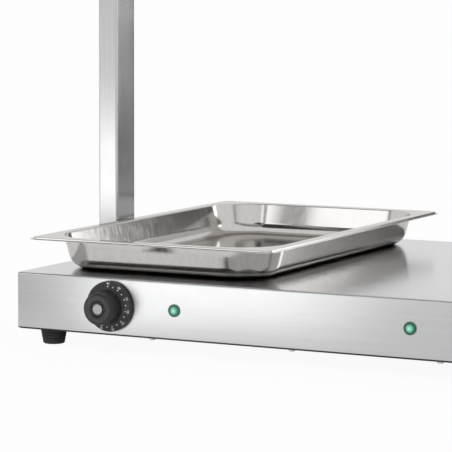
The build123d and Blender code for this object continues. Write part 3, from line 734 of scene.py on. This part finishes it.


# The shell's colour is painted dark below 21.4 mm as shade along its lower fold
SHEET = BrushedSteel("satin_sheet", painted_fold_shade_top=21.4 * MM)
POST_TUBE = BrushedSteel("satin_post_tube", grain=Grain.ALONG_Z, wall_rough=0.16, plate_rough=0.16)
PAN_STEEL = DrawnSteel("drawn_pan_steel")
GALVANISED = SpangledZinc("spangled_zinc")
# The bottom sheet's cut edges are painted near black as shade
BOTTOM_SHEET = SpangledZinc("spangled_bottom_sheet", oxide_and_shade=0.95)
ZINC = PlatedSteel("zinc_plating")
GUARD_WIRE = PlatedSteel("bright_guard_wire", colour=(0.7, 0.7, 0.7), dull=(0.6, 0.58, 0.55), rough=0.16)
PLASTIC = MouldedPlastic("black_moulding")
KNOB_PLASTIC = MouldedPlastic("black_knob_moulding", colour=(0.016, 0.016, 0.017), rough=0.34)
RUBBER = FootRubber("foot_rubber")
CERAMIC = FiredCeramic("fired_ceramic")
PRINT = WhitePrint("white_ink")


def dress(finish: Finish, *nodes: str) -> None:
    """Gives carried-over solids a finish.

    Args:
        finish: the finish.
        nodes: names of the solids.
    """
    for node in nodes:
        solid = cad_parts[node]
        if not solid.material_slots:
            solid.data.materials.append(None)
        for slot in solid.material_slots:
            slot.material = finish.material()
        LOG.info("dressed %s with %s", node, finish.name)


def middle_of(node: str) -> Spot:
    """Middle of a solid's box."""
    return tuple((low + high) / 2 for low, high in zip(*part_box(node)))


def placed(data: bpy.types.ID) -> bpy.types.Object:
    """Puts a mesh, curve, lamp or camera into the scene.

    Args:
        data: the mesh, curve, lamp or camera.

    Returns:
        The new object, under the same name.
    """
    made = bpy.data.objects.new(data.name, data)
    bpy.context.scene.collection.objects.link(made)
    return made


class Piece:
    """Points and faces of one new piece."""

    def __init__(self, name: str) -> None:
        """Starts an empty piece.

        Args:
            name: the object's name.
        """
        self.name = name
        self.points: list[Spot] = []
        self.faces: list[Sequence[int]] = []

    def ring(self, points: Iterable[Spot]) -> list[int]:
        """Adds points.

        Args:
            points: where they are.

        Returns:
            Their numbers.
        """
        start = len(self.points)
        self.points.extend(points)
        return list(range(start, len(self.points)))

    def skin(self, rings: Sequence[list[int]]) -> None:
        """Joins closed rings of equal length by quads.

        Args:
            rings: point numbers, ring by ring.
        """
        for low, high in zip(rings, rings[1:]):
            for index in range(len(low)):
                after = (index + 1) % len(low)
                self.faces.append((low[index], low[after], high[after], high[index]))

    def panel(self, middle: Vector, across: Vector, up: Vector) -> None:
        """Adds a flat rectangle by its centre and by half of its width and height as vectors."""
        signs = ((-1, -1), (1, -1), (1, 1), (-1, 1))
        self.faces.append(self.ring(tuple(middle + a * across + b * up) for a, b in signs))

    def mesh(self) -> bpy.types.Mesh:
        """Makes a mesh with outward faces and smooth shading.

        Returns:
            The mesh.
        """
        made = bpy.data.meshes.new(self.name)
        made.from_pydata(self.points, [], self.faces)
        work = bmesh.new()
        work.from_mesh(made)
        bmesh.ops.recalc_face_normals(work, faces=work.faces)
        work.to_mesh(made)
        work.free()
        made.shade_smooth()
        return made


def show(
    data: bpy.types.ID, finish: Finish, body: str, stands_for: Sequence[str] = ()
) -> bpy.types.Object:
    """Puts a new piece into the scene on the body that carries it.

    Args:
        data: its mesh or curve, in the frame of the solids.
        finish: its finish.
        body: the body that it moves with.
        stands_for: solids that it replaces.

    Returns:
        The new object.
    """
    made = placed(data)
    data.materials.append(finish.material())
    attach(made, body)
    if stands_for:
        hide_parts(*stands_for)
    LOG.info("made %s on %s", made.name, body)
    return made


def even_normals(piece: bpy.types.Object) -> None:
    """Weights a piece's normals by face area, so flat faces stay flat beside small roundings."""
    piece.modifiers.new("even_normals", "WEIGHTED_NORMAL").weight = FLAT_FACES_FIRST


def arc(middle: Pair, radius: float, start: float, end: float, steps: int) -> list[Pair]:
    """Points of a circular arc from one angle to another in degrees, both ends among them."""
    turns = [math.radians(start + (end - start) * step / steps) for step in range(steps + 1)]
    return [(middle[0] + radius * math.cos(turn), middle[1] + radius * math.sin(turn)) for turn in turns]


def full_turn(sides: int) -> list[float]:
    """Angles in radians of a full turn in equal steps."""
    return [2 * math.pi * step / sides for step in range(sides)]


def softened(corners: Sequence[Spot], steps: int = 4) -> list[Pair]:
    """Open outline with its corners rounded off.

    Args:
        corners: points as two coordinates and the length that is cut off each side of the corner.
        steps: chords per corner.

    Returns:
        The outline's points.
    """
    line: list[Pair] = []
    for index, (x, y, cut) in enumerate(corners):
        here = Vector((x, y))
        if cut == 0.0 or index in (0, len(corners) - 1):
            line.append((x, y))
            continue
        before = Vector(corners[index - 1][:2]) - here
        after = Vector(corners[index + 1][:2]) - here
        first, last = here + before.normalized() * cut, here + after.normalized() * cut
        for step in range(steps + 1):
            share = step / steps
            point = (1 - share) ** 2 * first + 2 * share * (1 - share) * here + share**2 * last
            line.append((point.x, point.y))
    return line


@dataclass
class FoodPan:
    """Shallow drawn pan with sloping walls, a rounded floor edge and a stepped rim; sizes in millimetres."""

    length: float = 530.0
    width: float = 325.0
    depth: float = 40.0
    sheet: float = 0.8
    lip: float = 3.5
    lip_round: float = 0.4
    lip_cut: Pair = (0.3, 0.2)
    rim: float = 13.0
    rim_round: float = 0.8
    rim_corner: float = 10.0
    step: float = 3.0
    step_round: float = 0.5
    roll: float = 1.6
    floor_corner: float = 50.0
    floor_round: float = 20.0
    floor_rings: Pair = (40.0, 1.0)
    least_corner: float = 0.3
    lean: float = 15.0
    corner_chords: int = 14
    side_parts: int = 6

    def outline(self, out: float, height: float, from_rim: bool) -> list[Spot]:
        """One closed ring of the pan at one height.

        Args:
            out: distance outwards from the floor's sharp outline, or from the edge of the flat rim.
            height: height over the plate.
            from_rim: whether the ring follows the rim's outline instead of the floor's.

        Returns:
            The ring's points, in metres, about the pan's middle.
        """
        draft = 0.0 if from_rim else self.depth * math.tan(math.radians(self.lean)) + self.rim
        half_x = self.width / 2 - self.lip - draft + out
        half_y = self.length / 2 - self.lip - draft + out
        corner = max((self.rim_corner if from_rim else self.floor_corner) + out, self.least_corner)
        bends: list[list[Vector]] = []
        for quarter, (sign_x, sign_y) in enumerate(((1, 1), (-1, 1), (-1, -1), (1, -1))):
            middle = (sign_x * (half_x - corner), sign_y * (half_y - corner))
            bend = arc(middle, corner, 90.0 * quarter, 90.0 * quarter + 90.0, self.corner_chords)
            bends.append([Vector((x * MM, y * MM, height * MM)) for x, y in bend])
        points: list[Spot] = []
        for bend, after in zip(bends, bends[1:] + bends[:1]):
            points += [tuple(point) for point in bend]
            shares = [part / self.side_parts for part in range(1, self.side_parts)]
            points += [tuple(bend[-1].lerp(after[0], share)) for share in shares]
        return points

    def profile(self) -> list[tuple[float, float, bool]]:
        """Section of the sheet from the middle of the floor over the rim and back below.

        Returns:
            Ring by ring: distance out, height and whether it follows the rim's outline.
        """
        lean, sheet, tall, lip = math.radians(self.lean), self.sheet, self.depth, self.lip
        bend, roll = self.floor_round, self.roll
        top, foot, nose = self.rim_round, self.step_round, self.lip_round
        ledge, under = tall - self.step, tall - sheet
        toe = (bend * math.tan(lean) - bend / math.cos(lean), bend)
        head = ((under - roll) * math.tan(lean) + roll / math.cos(lean), under - roll)
        floor = [toe[0] - inset for inset in self.floor_rings]
        inner = [(out, sheet) for out in floor]
        inner += arc(toe, bend - sheet, -90.0, -self.lean, 10)
        inner += arc(head, roll + sheet, 180.0 - self.lean, 90.0, 7)
        inner += [(head[0] + top, tall)]
        edge = [(-2 * top, tall), *arc((-top, tall - top), top, 90.0, 0.0, 5)]
        edge += arc((foot, ledge + sheet + foot), foot, 180.0, 270.0, 4)
        edge += [(lip - 2 * nose, ledge + sheet), *arc((lip - nose, ledge + nose), nose, 90.0, -90.0, 6)]
        edge += [(self.lip_cut[0] - sheet, ledge), (-sheet, ledge + self.lip_cut[1]), (-sheet, under - nose)]
        edge += [(-sheet - nose, under), (-sheet - 3 * nose, under)]
        below = [(head[0] + top, under), *arc(head, roll, 90.0, 180.0 - self.lean, 6)]
        below += arc(toe, bend, -self.lean, -90.0, 10)
        below += [(out, 0.0) for out in reversed(floor)]
        parts = ((inner, False), (edge, True), (below, False))
        return [(out, height, from_rim) for part, from_rim in parts for out, height in part]

    def build(self) -> None:
        """Draws the pan in place of its solid."""
        piece = Piece("drawn_food_pan")
        x, y, _ = middle_of("food_pan")
        middle = Vector((x, y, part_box("food_pan")[0].z))
        rings = [
            piece.ring(tuple(middle + Vector(point)) for point in self.outline(out, height, from_rim))
            for out, height, from_rim in self.profile()
        ]
        piece.skin(rings)
        piece.faces += [rings[0], rings[-1]]
        even_normals(show(piece.mesh(), PAN_STEEL, "food_pan", ["food_pan"]))


@dataclass
class Control:
    """One thermostat control: fluted knob with a printed skirt, and the pieces that belong to it.

    Sizes are millimetres, except the panel's place.
    """

    side: Side
    panel_y: float
    gap: float = 1.5
    tall: float = 33.5
    skirt: float = 59.5
    skirt_thick: float = 5.0
    skirt_slope: float = 2.0
    skirt_edge: float = 0.8
    grip: float = 39.5
    grip_flare: float = 0.6
    grip_rows: int = 12
    recess: float = 9.0
    flutes: int = 20
    flute_round: float = 1.7
    flute_ring: float = 0.9
    flute_start: float = 11.0
    flute_end: float = 3.6
    flute_fade: float = 1.5
    flute_chords: int = 12
    dots: int = 13
    dot_ring: float = 24.0
    dot_size: float = 0.75
    dot_sides: int = 16
    word_ring: float = 27.0
    word_tall: float = 2.9
    words: tuple[str, ...] = ("90", "80", "70", "60", "50", "40", "30")
    first_turn: float = 90.0
    pitch: float = 16.6
    off_turn: float = -150.0

    @cached_property
    def middle(self) -> Pair:
        """Place of the knob's axis as X and Z."""
        x, _, z = middle_of(f"knob_{self.side.word}")
        return (x, z)

    @property
    def body(self) -> str:
        """Body that turns with the knob."""
        return f"control_{self.side.word}"

    def at(self, radius: float, turn: float, out: float) -> Spot:
        """Point in metres, by its distance and angle round the axis and its distance from the panel."""
        x, z = self.middle
        return (x + radius * math.cos(turn) * MM, self.panel_y - out * MM, z + radius * math.sin(turn) * MM)

    def skirt_out(self, radius: float) -> float:
        """Height of the sloping skirt face over the panel at a radius."""
        outer, inner = self.skirt / 2 - self.skirt_edge, self.grip / 2 + self.grip_flare
        return self.gap + self.skirt_thick + self.skirt_slope * (outer - radius) / (outer - inner)

    def flute_cut(self, turn: float, radius: float, out: float) -> float:
        """Depth of the finger flutes at one point of the grip.

        Args:
            turn: angle in radians.
            radius: radius of the plain grip there.
            out: distance from the panel.

        Returns:
            How far the surface lies inside the plain grip.
        """
        start, end = self.gap + self.flute_start, self.tall - self.flute_end
        rise, fall = (min(max(part / self.flute_fade + 0.5, 0.0), 1.0) for part in (out - start, end - out))
        share = 2 * math.pi / self.flutes
        offset = (turn + share / 2) % share - share / 2
        ring = self.grip / 2 + self.flute_ring
        reach = self.flute_round**2 - (ring * math.sin(offset)) ** 2
        if reach <= 0.0:
            return 0.0
        return rise * fall * max(radius - (ring * math.cos(offset) - math.sqrt(reach)), 0.0)

    def knob(self) -> None:
        """Turns the knob with its flutes, in place of its solid."""
        rim, grip, recess, tall = self.skirt / 2, self.grip / 2, self.recess, self.tall
        face = self.gap + self.skirt_thick
        root = face + self.skirt_slope
        # Rows of the two sections: radius, distance from the panel, and what is cut off the corner
        back = softened([
            (0.5, 3.0, 0.0), (8.0, 3.0, 0.3), (8.0, face - 1.0, 0.5), (rim - 4.0, face - 2.2, 0.6),
            (rim - 3.0, self.gap, 0.4), (rim, self.gap, 0.4), (rim, face - 0.4, 0.9),
            (rim - self.skirt_edge, face, 0.25), (grip + self.grip_flare, root, 0.5),
            (grip, root + 0.8, 0.4), (grip - 0.3, root + 5.0, 0.0),
        ])
        shares = [step / self.grip_rows for step in range(1, self.grip_rows + 1)]
        wall = [(grip - 0.3 - 0.5 * share, root + 5.0 + (tall - root - 9.0) * share) for share in shares]
        front = softened([
            (*wall[-1], 0.0), (grip - 0.8, tall - 2.2, 1.0), (grip - 3.2, tall, 1.6),
            (recess + 1.4, tall - 0.4, 0.5), (recess, tall - 1.6, 0.5), (recess - 1.0, tall - 2.6, 0.4),
            (0.5, tall - 2.6, 0.0),
        ], 6)
        piece = Piece(f"fluted_knob_{self.side.word}")
        turns = full_turn(self.flute_chords * self.flutes)
        rings = [
            piece.ring(self.at(radius - self.flute_cut(turn, radius, out), turn, out) for turn in turns)
            for radius, out in back + wall + front[1:]
        ]
        piece.skin(rings)
        piece.faces += [rings[0], rings[-1]]
        solid = f"knob_{self.side.word}"
        even_normals(show(piece.mesh(), KNOB_PLASTIC, self.body, [solid]))

    def on_skirt(self, radius: float, turn: float) -> Spot:
        """Point of the print on the skirt's face."""
        return self.at(radius, turn, self.skirt_out(radius) + PRINT_LIFT)

    def word(self, piece: Piece, text: str, turn: float) -> None:
        """Prints one number on the skirt, its top turned outwards.

        Args:
            piece: the dial's print.
            text: the number.
            turn: its place in degrees.
        """
        letters = bpy.data.curves.new("dial_number", "FONT")
        letters.body = text
        letters.align_x = "CENTER"
        letters.align_y = "CENTER"
        letters.size = self.word_tall * TEXT_SIZE
        holder = bpy.data.objects.new("dial_number", letters)
        flat = bpy.data.meshes.new_from_object(holder)
        numbers = piece.ring(
            self.on_skirt(self.word_ring + spot.co.y, math.radians(turn) - spot.co.x / self.word_ring)
            for spot in flat.vertices
        )
        piece.faces += [tuple(numbers[index] for index in face.vertices) for face in flat.polygons]
        bpy.data.objects.remove(holder)
        bpy.data.curves.remove(letters)
        bpy.data.meshes.remove(flat)

    def dial(self) -> None:
        """Prints the dots and numbers of the dial on the skirt."""
        piece = Piece(f"dial_print_{self.side.word}")
        places = [self.first_turn - self.pitch * index for index in range(self.dots)] + [self.off_turn]
        for place in places:
            piece.faces.append(piece.ring(
                self.on_skirt(
                    self.dot_ring + self.dot_size * math.cos(angle),
                    math.radians(place) + self.dot_size * math.sin(angle) / self.dot_ring,
                )
                for angle in full_turn(self.dot_sides)
            ))
        for index, text in enumerate(self.words):
            self.word(piece, text, self.first_turn - 2 * self.pitch * index)
        self.word(piece, "0", self.off_turn)
        show(piece.mesh(), PRINT, self.body)

    def build(self) -> None:
        """Makes the knob and its print and dresses the pieces that belong to the control."""
        side = self.side.word
        self.knob()
        self.dial()
        x, z = self.middle
        dress(SpunSilver("spun_cap", abs(x), z), f"knob_cap_{side}")
        dress(ZINC, f"spindle_{side}")
        dress(CERAMIC, f"thermostat_{side}")
        dress(DrawnCopper("capillary_copper"), f"sensor_{side}")


@dataclass
class HeatedBase:
    """The base: folded shell, bottom plate, feet, heating zones, lamps and mains entry."""

    corners: tuple[str, ...] = ("front_left", "front_right", "rear_left", "rear_right")
    fasteners: tuple[str, ...] = (
        "foot_screws", "foot_nuts", "pressure_studs", "pressure_nuts", "thermostat_screws",
        "pilot_nuts", "earth_stud", "post_bolts", "post_nuts", "bottom_screws",
    )

    @property
    def panel_y(self) -> float:
        """Place of the front panel's face along Y."""
        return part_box("base_shell")[0].y

    def lamps(self) -> None:
        """Dresses the two pilot lamps, which share one finish about their axes."""
        x, _, z = middle_of("pilot_lens_right")
        for side in Side:
            dress(LitLens("lit_green_lens", x, z), f"pilot_lens_{side.word}")
            dress(PLASTIC, f"pilot_body_{side.word}")

    def zones(self) -> None:
        """Dresses the heating zones under the plate."""
        for side in Side:
            dress(HeatingFoil("crinkled_heating_foil"), f"heating_mat_{side.word}")
            dress(PressedWool("pressed_wool"), f"insulation_{side.word}")
            dress(GALVANISED, f"pressure_plate_{side.word}")

    def build(self) -> None:
        """Dresses the shell and what it holds."""
        dress(SHEET, "base_shell")
        dress(BOTTOM_SHEET, "bottom_plate")
        dress(GALVANISED, "bulb_clips")
        dress(ZINC, *self.fasteners)
        dress(RUBBER, *(f"foot_{corner}" for corner in self.corners))
        dress(CERAMIC, "terminal_block")
        dress(PLASTIC, "cable_gland", "gland_nut")
        self.lamps()
        self.zones()


@dataclass
class HeatBridge:
    """Two posts and the heat bridge with its tubes, reflectors and guards; sizes in millimetres."""

    coil_round: float = 2.2
    coil_pitch: float = 2.4
    wire: float = 0.38
    lead: float = 24.0
    lead_gap: float = 2.0
    lead_swell: float = 2.2
    steps: int = 12

    def coil(self, side: Side) -> None:
        """Winds the heating wire in place of its solid.

        Args:
            side: which tube.
        """
        node = f"filament_{side.word}"
        low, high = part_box(node)
        _, y, z = middle_of(node)
        curve = bpy.data.curves.new(f"heating_coil_{side.word}", "CURVE")
        curve.dimensions = "3D"
        curve.bevel_depth = self.wire * MM
        curve.bevel_resolution = 1
        start, end = low.x + self.lead * MM, high.x - self.lead * MM
        count = int((end - start) / (self.coil_pitch * MM)) * self.steps
        path = [(low.x, y, z), (start - self.lead_gap * MM, y, z)]
        for index in range(count + 1):
            turn = 2 * math.pi * index / self.steps
            reach = self.coil_round * MM * min(index / self.steps, (count - index) / self.steps, 1.0)
            x = start + (end - start) * index / count
            path.append((x, y + reach * math.cos(turn), z + reach * math.sin(turn)))
        path += [(end + self.lead_gap * MM, y, z), (high.x, y, z)]
        spline = curve.splines.new("POLY")
        spline.points.add(len(path) - 1)
        for point, spot in zip(spline.points, path):
            point.co = (*spot, 1.0)
        for point in (*spline.points[:2], *spline.points[-2:]):
            point.radius = self.lead_swell
        show(curve, GlowingWire("glowing_wire"), "warmer", [node])

    def build(self) -> None:
        """Dresses the posts and the bridge and winds the coils."""
        dress(SHEET, "bridge_shell")
        dress(GALVANISED, "tube_brackets")
        dress(CERAMIC, "tube_ends")
        dress(PLASTIC, "post_end_caps")
        for side in Side:
            dress(POST_TUBE, f"post_{side.word}")
            dress(SHEET, f"bridge_end_{side.word}")
            dress(RolledAluminium("rolled_reflector"), f"reflector_{side.word}")
            dress(MilkyQuartz("milky_quartz_tube"), f"quartz_tube_{side.word}")
            dress(GUARD_WIRE, f"guard_{side.word}")
            self.coil(side)


@dataclass
class RockerSwitch:
    """Rocker of the heating tubes with its printed marks; sizes in millimetres, the trunnion in metres."""

    tilt: float = 7.0
    trunnion: Spot = (0.290, -0.09425, 0.4715)
    end: Pair = (8.6, 6.4)
    flat: Pair = (3.0, 5.0)
    bar: Pair = (0.7, 3.4)
    ring: Pair = (1.6, 1.05)
    ring_sides: int = 28

    def face(self, side: Side) -> tuple[Vector, Vector]:
        """Middle and direction of one half of the rocker's front, before it is tilted.

        Args:
            side: which half.

        Returns:
            The middle, just over the face, and the unit vector along it.
        """
        outer = Vector((side.value * self.end[0], -self.end[1], 0.0))
        inner = Vector((side.value * self.flat[0], -self.flat[1], 0.0))
        return (outer + inner) / 2 + Vector((0.0, -PRINT_LIFT, 0.0)), (outer - inner).normalized()

    def build(self) -> None:
        """Dresses the switch and prints its two marks."""
        dress(PLASTIC, "switch_bezel", "rocker")
        piece = Piece("rocker_marks")
        up = Vector((0.0, 0.0, 1.0))
        middle, along = self.face(Side.LEFT)
        spokes = [math.cos(turn) * along + math.sin(turn) * up for turn in full_turn(self.ring_sides)]
        piece.skin([piece.ring(tuple(middle + radius * spoke) for spoke in spokes) for radius in self.ring])
        middle, along = self.face(Side.RIGHT)
        piece.panel(middle, self.bar[0] / 2 * along, self.bar[1] / 2 * up)
        data = piece.mesh()
        tilted = Matrix.Rotation(math.radians(self.tilt), 4, "Z") @ Matrix.Scale(MM, 4)
        data.transform(Matrix.Translation(self.trunnion) @ tilted)
        show(data, PRINT, "lamp_rocker")


def stage_card(name: str, size: Pair) -> bpy.types.Object:
    """Makes a flat rectangle about the origin that belongs to the studio.

    Args:
        name: its name.
        size: its width and height.

    Returns:
        The new object.
    """
    piece = Piece(name)
    piece.panel(Vector(), Vector((size[0] / 2, 0.0, 0.0)), Vector((0.0, size[1] / 2, 0.0)))
    made = placed(piece.mesh())
    return made


@dataclass(frozen=True)
class Prop:
    """Something that stands in the studio out of the camera's sight and faces a spot."""

    name: str
    spot: Spot
    aim: Spot
    size: Pair

    def stand(self, thing: bpy.types.Object) -> None:
        """Puts the prop's object in its place.

        Args:
            thing: the object.
        """
        thing.location = self.spot
        thing.rotation_euler = (Vector(self.aim) - Vector(self.spot)).to_track_quat("-Z", "Y").to_euler()
        thing.visible_camera = False
        LOG.info("stood up %s", self.name)


@dataclass(frozen=True)
class Softbox(Prop):
    """A soft area lamp."""

    power: float

    def build(self) -> None:
        """Hangs the lamp."""
        lamp = bpy.data.lights.new(self.name, "AREA")
        lamp.shape = "RECTANGLE"
        lamp.size, lamp.size_y = self.size
        lamp.energy = self.power
        self.stand(placed(lamp))


@dataclass(frozen=True)
class Flag(Prop):
    """A grey card that only reflections see, to give the steel its greys."""

    grey: float

    def build(self) -> None:
        """Stands the card up."""
        card = stage_card(self.name, self.size)
        for ray in ("visible_diffuse", "visible_shadow", "visible_transmission"):
            setattr(card, ray, False)
        paint = Paint(f"{self.name}_cloth")
        paint.shade(Base_Color=(self.grey, self.grey, self.grey), Roughness=1.0)
        card.data.materials.append(paint.made)
        self.stand(card)


@dataclass
class Studio:
    """Camera, white surround, floor and lamps."""

    eye: Spot = (1.107905, -2.632865, 0.436923)
    yaw: float = 26.687618
    pitch: float = 6.061908
    roll: float = -0.168679
    lens: float = 185.8923
    sensor: float = 36.0
    sight: float = 100.0
    floor_size: float = 120.0
    floor_grey: float = 0.9
    floor_speckle: float = 0.98
    floor_white: float = 0.94
    contact: float = 0.15
    fill: float = 0.8
    lamps: tuple[Softbox, ...] = (
        Softbox("key_softbox", (-1.36, -2.09, 1.5), (-0.2, -0.23, 0.1), (1.5, 0.9), 3.8),
        Softbox("corner_strip", (0.77, 1.5, 0.58), (-0.05, -0.15, 0.1), (0.36, 0.85), 2.5),
        Softbox("panel_card", (-0.33, -0.76, 0.035), (-0.2865, -0.6712, 1.035), (0.34, 0.62), 1.0),
        Softbox("post_card", (-1.325, -1.7, 0.04), (-1.3067, -1.6679, 1.04), (0.4, 1.8), 3.3),
    )
    flags: tuple[Flag, ...] = (
        Flag("low_flag", (0.26, 1.4, 0.235), (0.26, 0.0, 0.235), (0.56, 0.47), 0.14),
        Flag("high_flag", (0.275, 1.9, 0.98), (0.275, 0.0, 0.98), (0.65, 0.85), 0.75),
        Flag("front_flag", (-0.82, -0.98, 1.49), (-0.2, -0.23, 0.1), (2.0, 0.95), 0.04),
        Flag("floor_flag", (-0.68, -0.68, 0.02), (-0.67, -0.66, 1.0), (0.24, 0.6), 0.6),
    )

    def camera(self) -> None:
        """Sets the camera at the photograph's viewing angle."""
        turn, dip, bank = math.radians(self.yaw), math.radians(self.pitch), math.radians(self.roll)
        ahead = Vector((-math.sin(turn) * math.cos(dip), math.cos(turn) * math.cos(dip), -math.sin(dip)))
        right = Vector((math.cos(turn), math.sin(turn), 0.0))
        down = ahead.cross(right)
        side = math.cos(bank) * right + math.sin(bank) * down
        below = -math.sin(bank) * right + math.cos(bank) * down
        data = bpy.data.cameras.new("studio_camera")
        data.lens = self.lens
        data.sensor_width = self.sensor
        data.clip_end = self.sight
        camera = placed(data)
        turned = Matrix((side, -below, -ahead)).transposed().to_4x4()
        camera.matrix_world = Matrix.Translation(self.eye) @ turned
        bpy.context.scene.camera = camera

    def surround(self) -> None:
        """White world to the camera, in reflections and through glass; softer where it only fills shadows."""
        world = bpy.data.worlds.new("white_surround")
        world.use_nodes = True
        world.node_tree.nodes.clear()
        bench = Bench(world.node_tree)
        path = bench.node("ShaderNodeLightPath").outputs
        seen = bench.maths("MAXIMUM", path["Is Camera Ray"], path["Is Glossy Ray"])
        seen = bench.maths("MAXIMUM", seen, path["Is Transmission Ray"])
        strength = bench.between(seen, self.fill, 1.0)
        light = bench.node("ShaderNodeBackground", {"Color": WHITE, "Strength": strength})
        bench.node("ShaderNodeOutputWorld", {"Surface": light.outputs[0]})
        bpy.context.scene.world = world

    def floor(self) -> None:
        """Pale floor that looks white and keeps a soft shadow."""
        floor = stage_card("studio_floor", (self.floor_size, self.floor_size))
        paint = Paint("pale_floor")
        speckle = paint.noise(60.0, 3.0, 0.5)
        pale = (self.floor_grey, self.floor_grey, self.floor_grey)
        darker = tuple(self.floor_speckle * part for part in pale)
        paint.shade(Base_Color=paint.tint(speckle, pale, darker), Roughness=0.9)
        glow = paint.node("ShaderNodeEmission", {"Color": WHITE, "Strength": 1.0})
        path = paint.node("ShaderNodeLightPath").outputs
        # Painted shade: ambient occlusion darkens the white that reflections see near the warmer
        open_sky = paint.node("ShaderNodeAmbientOcclusion", {"Distance": self.contact}).outputs["AO"]
        mirrored = paint.times(path["Is Glossy Ray"], open_sky)
        direct = paint.maths("MAXIMUM", path["Is Camera Ray"], path["Is Transmission Ray"])
        share = paint.times(paint.maths("MAXIMUM", direct, mirrored), self.floor_white)
        both = paint.node("ShaderNodeMixShader", {0: share, 1: paint.shader.outputs[0], 2: glow.outputs[0]})
        paint.feed(paint.output.inputs["Surface"], both.outputs[0])
        floor.data.materials.append(paint.made)

    def build(self) -> None:
        """Sets the studio up."""
        bpy.context.scene.view_settings.view_transform = "Standard"
        self.camera()
        self.surround()
        self.floor()
        for prop in (*self.lamps, *self.flags):
            prop.build()


def main() -> None:
    """Builds the warmer piece by piece, then the studio round it."""
    logging.basicConfig(level=logging.INFO, format="%(name)s: %(message)s")
    base = HeatedBase()
    base.build()
    for side in Side:
        Control(side, base.panel_y).build()
    HeatBridge().build()
    RockerSwitch().build()
    FoodPan().build()
    Studio().build()


if __name__ == "__main__":
    main()
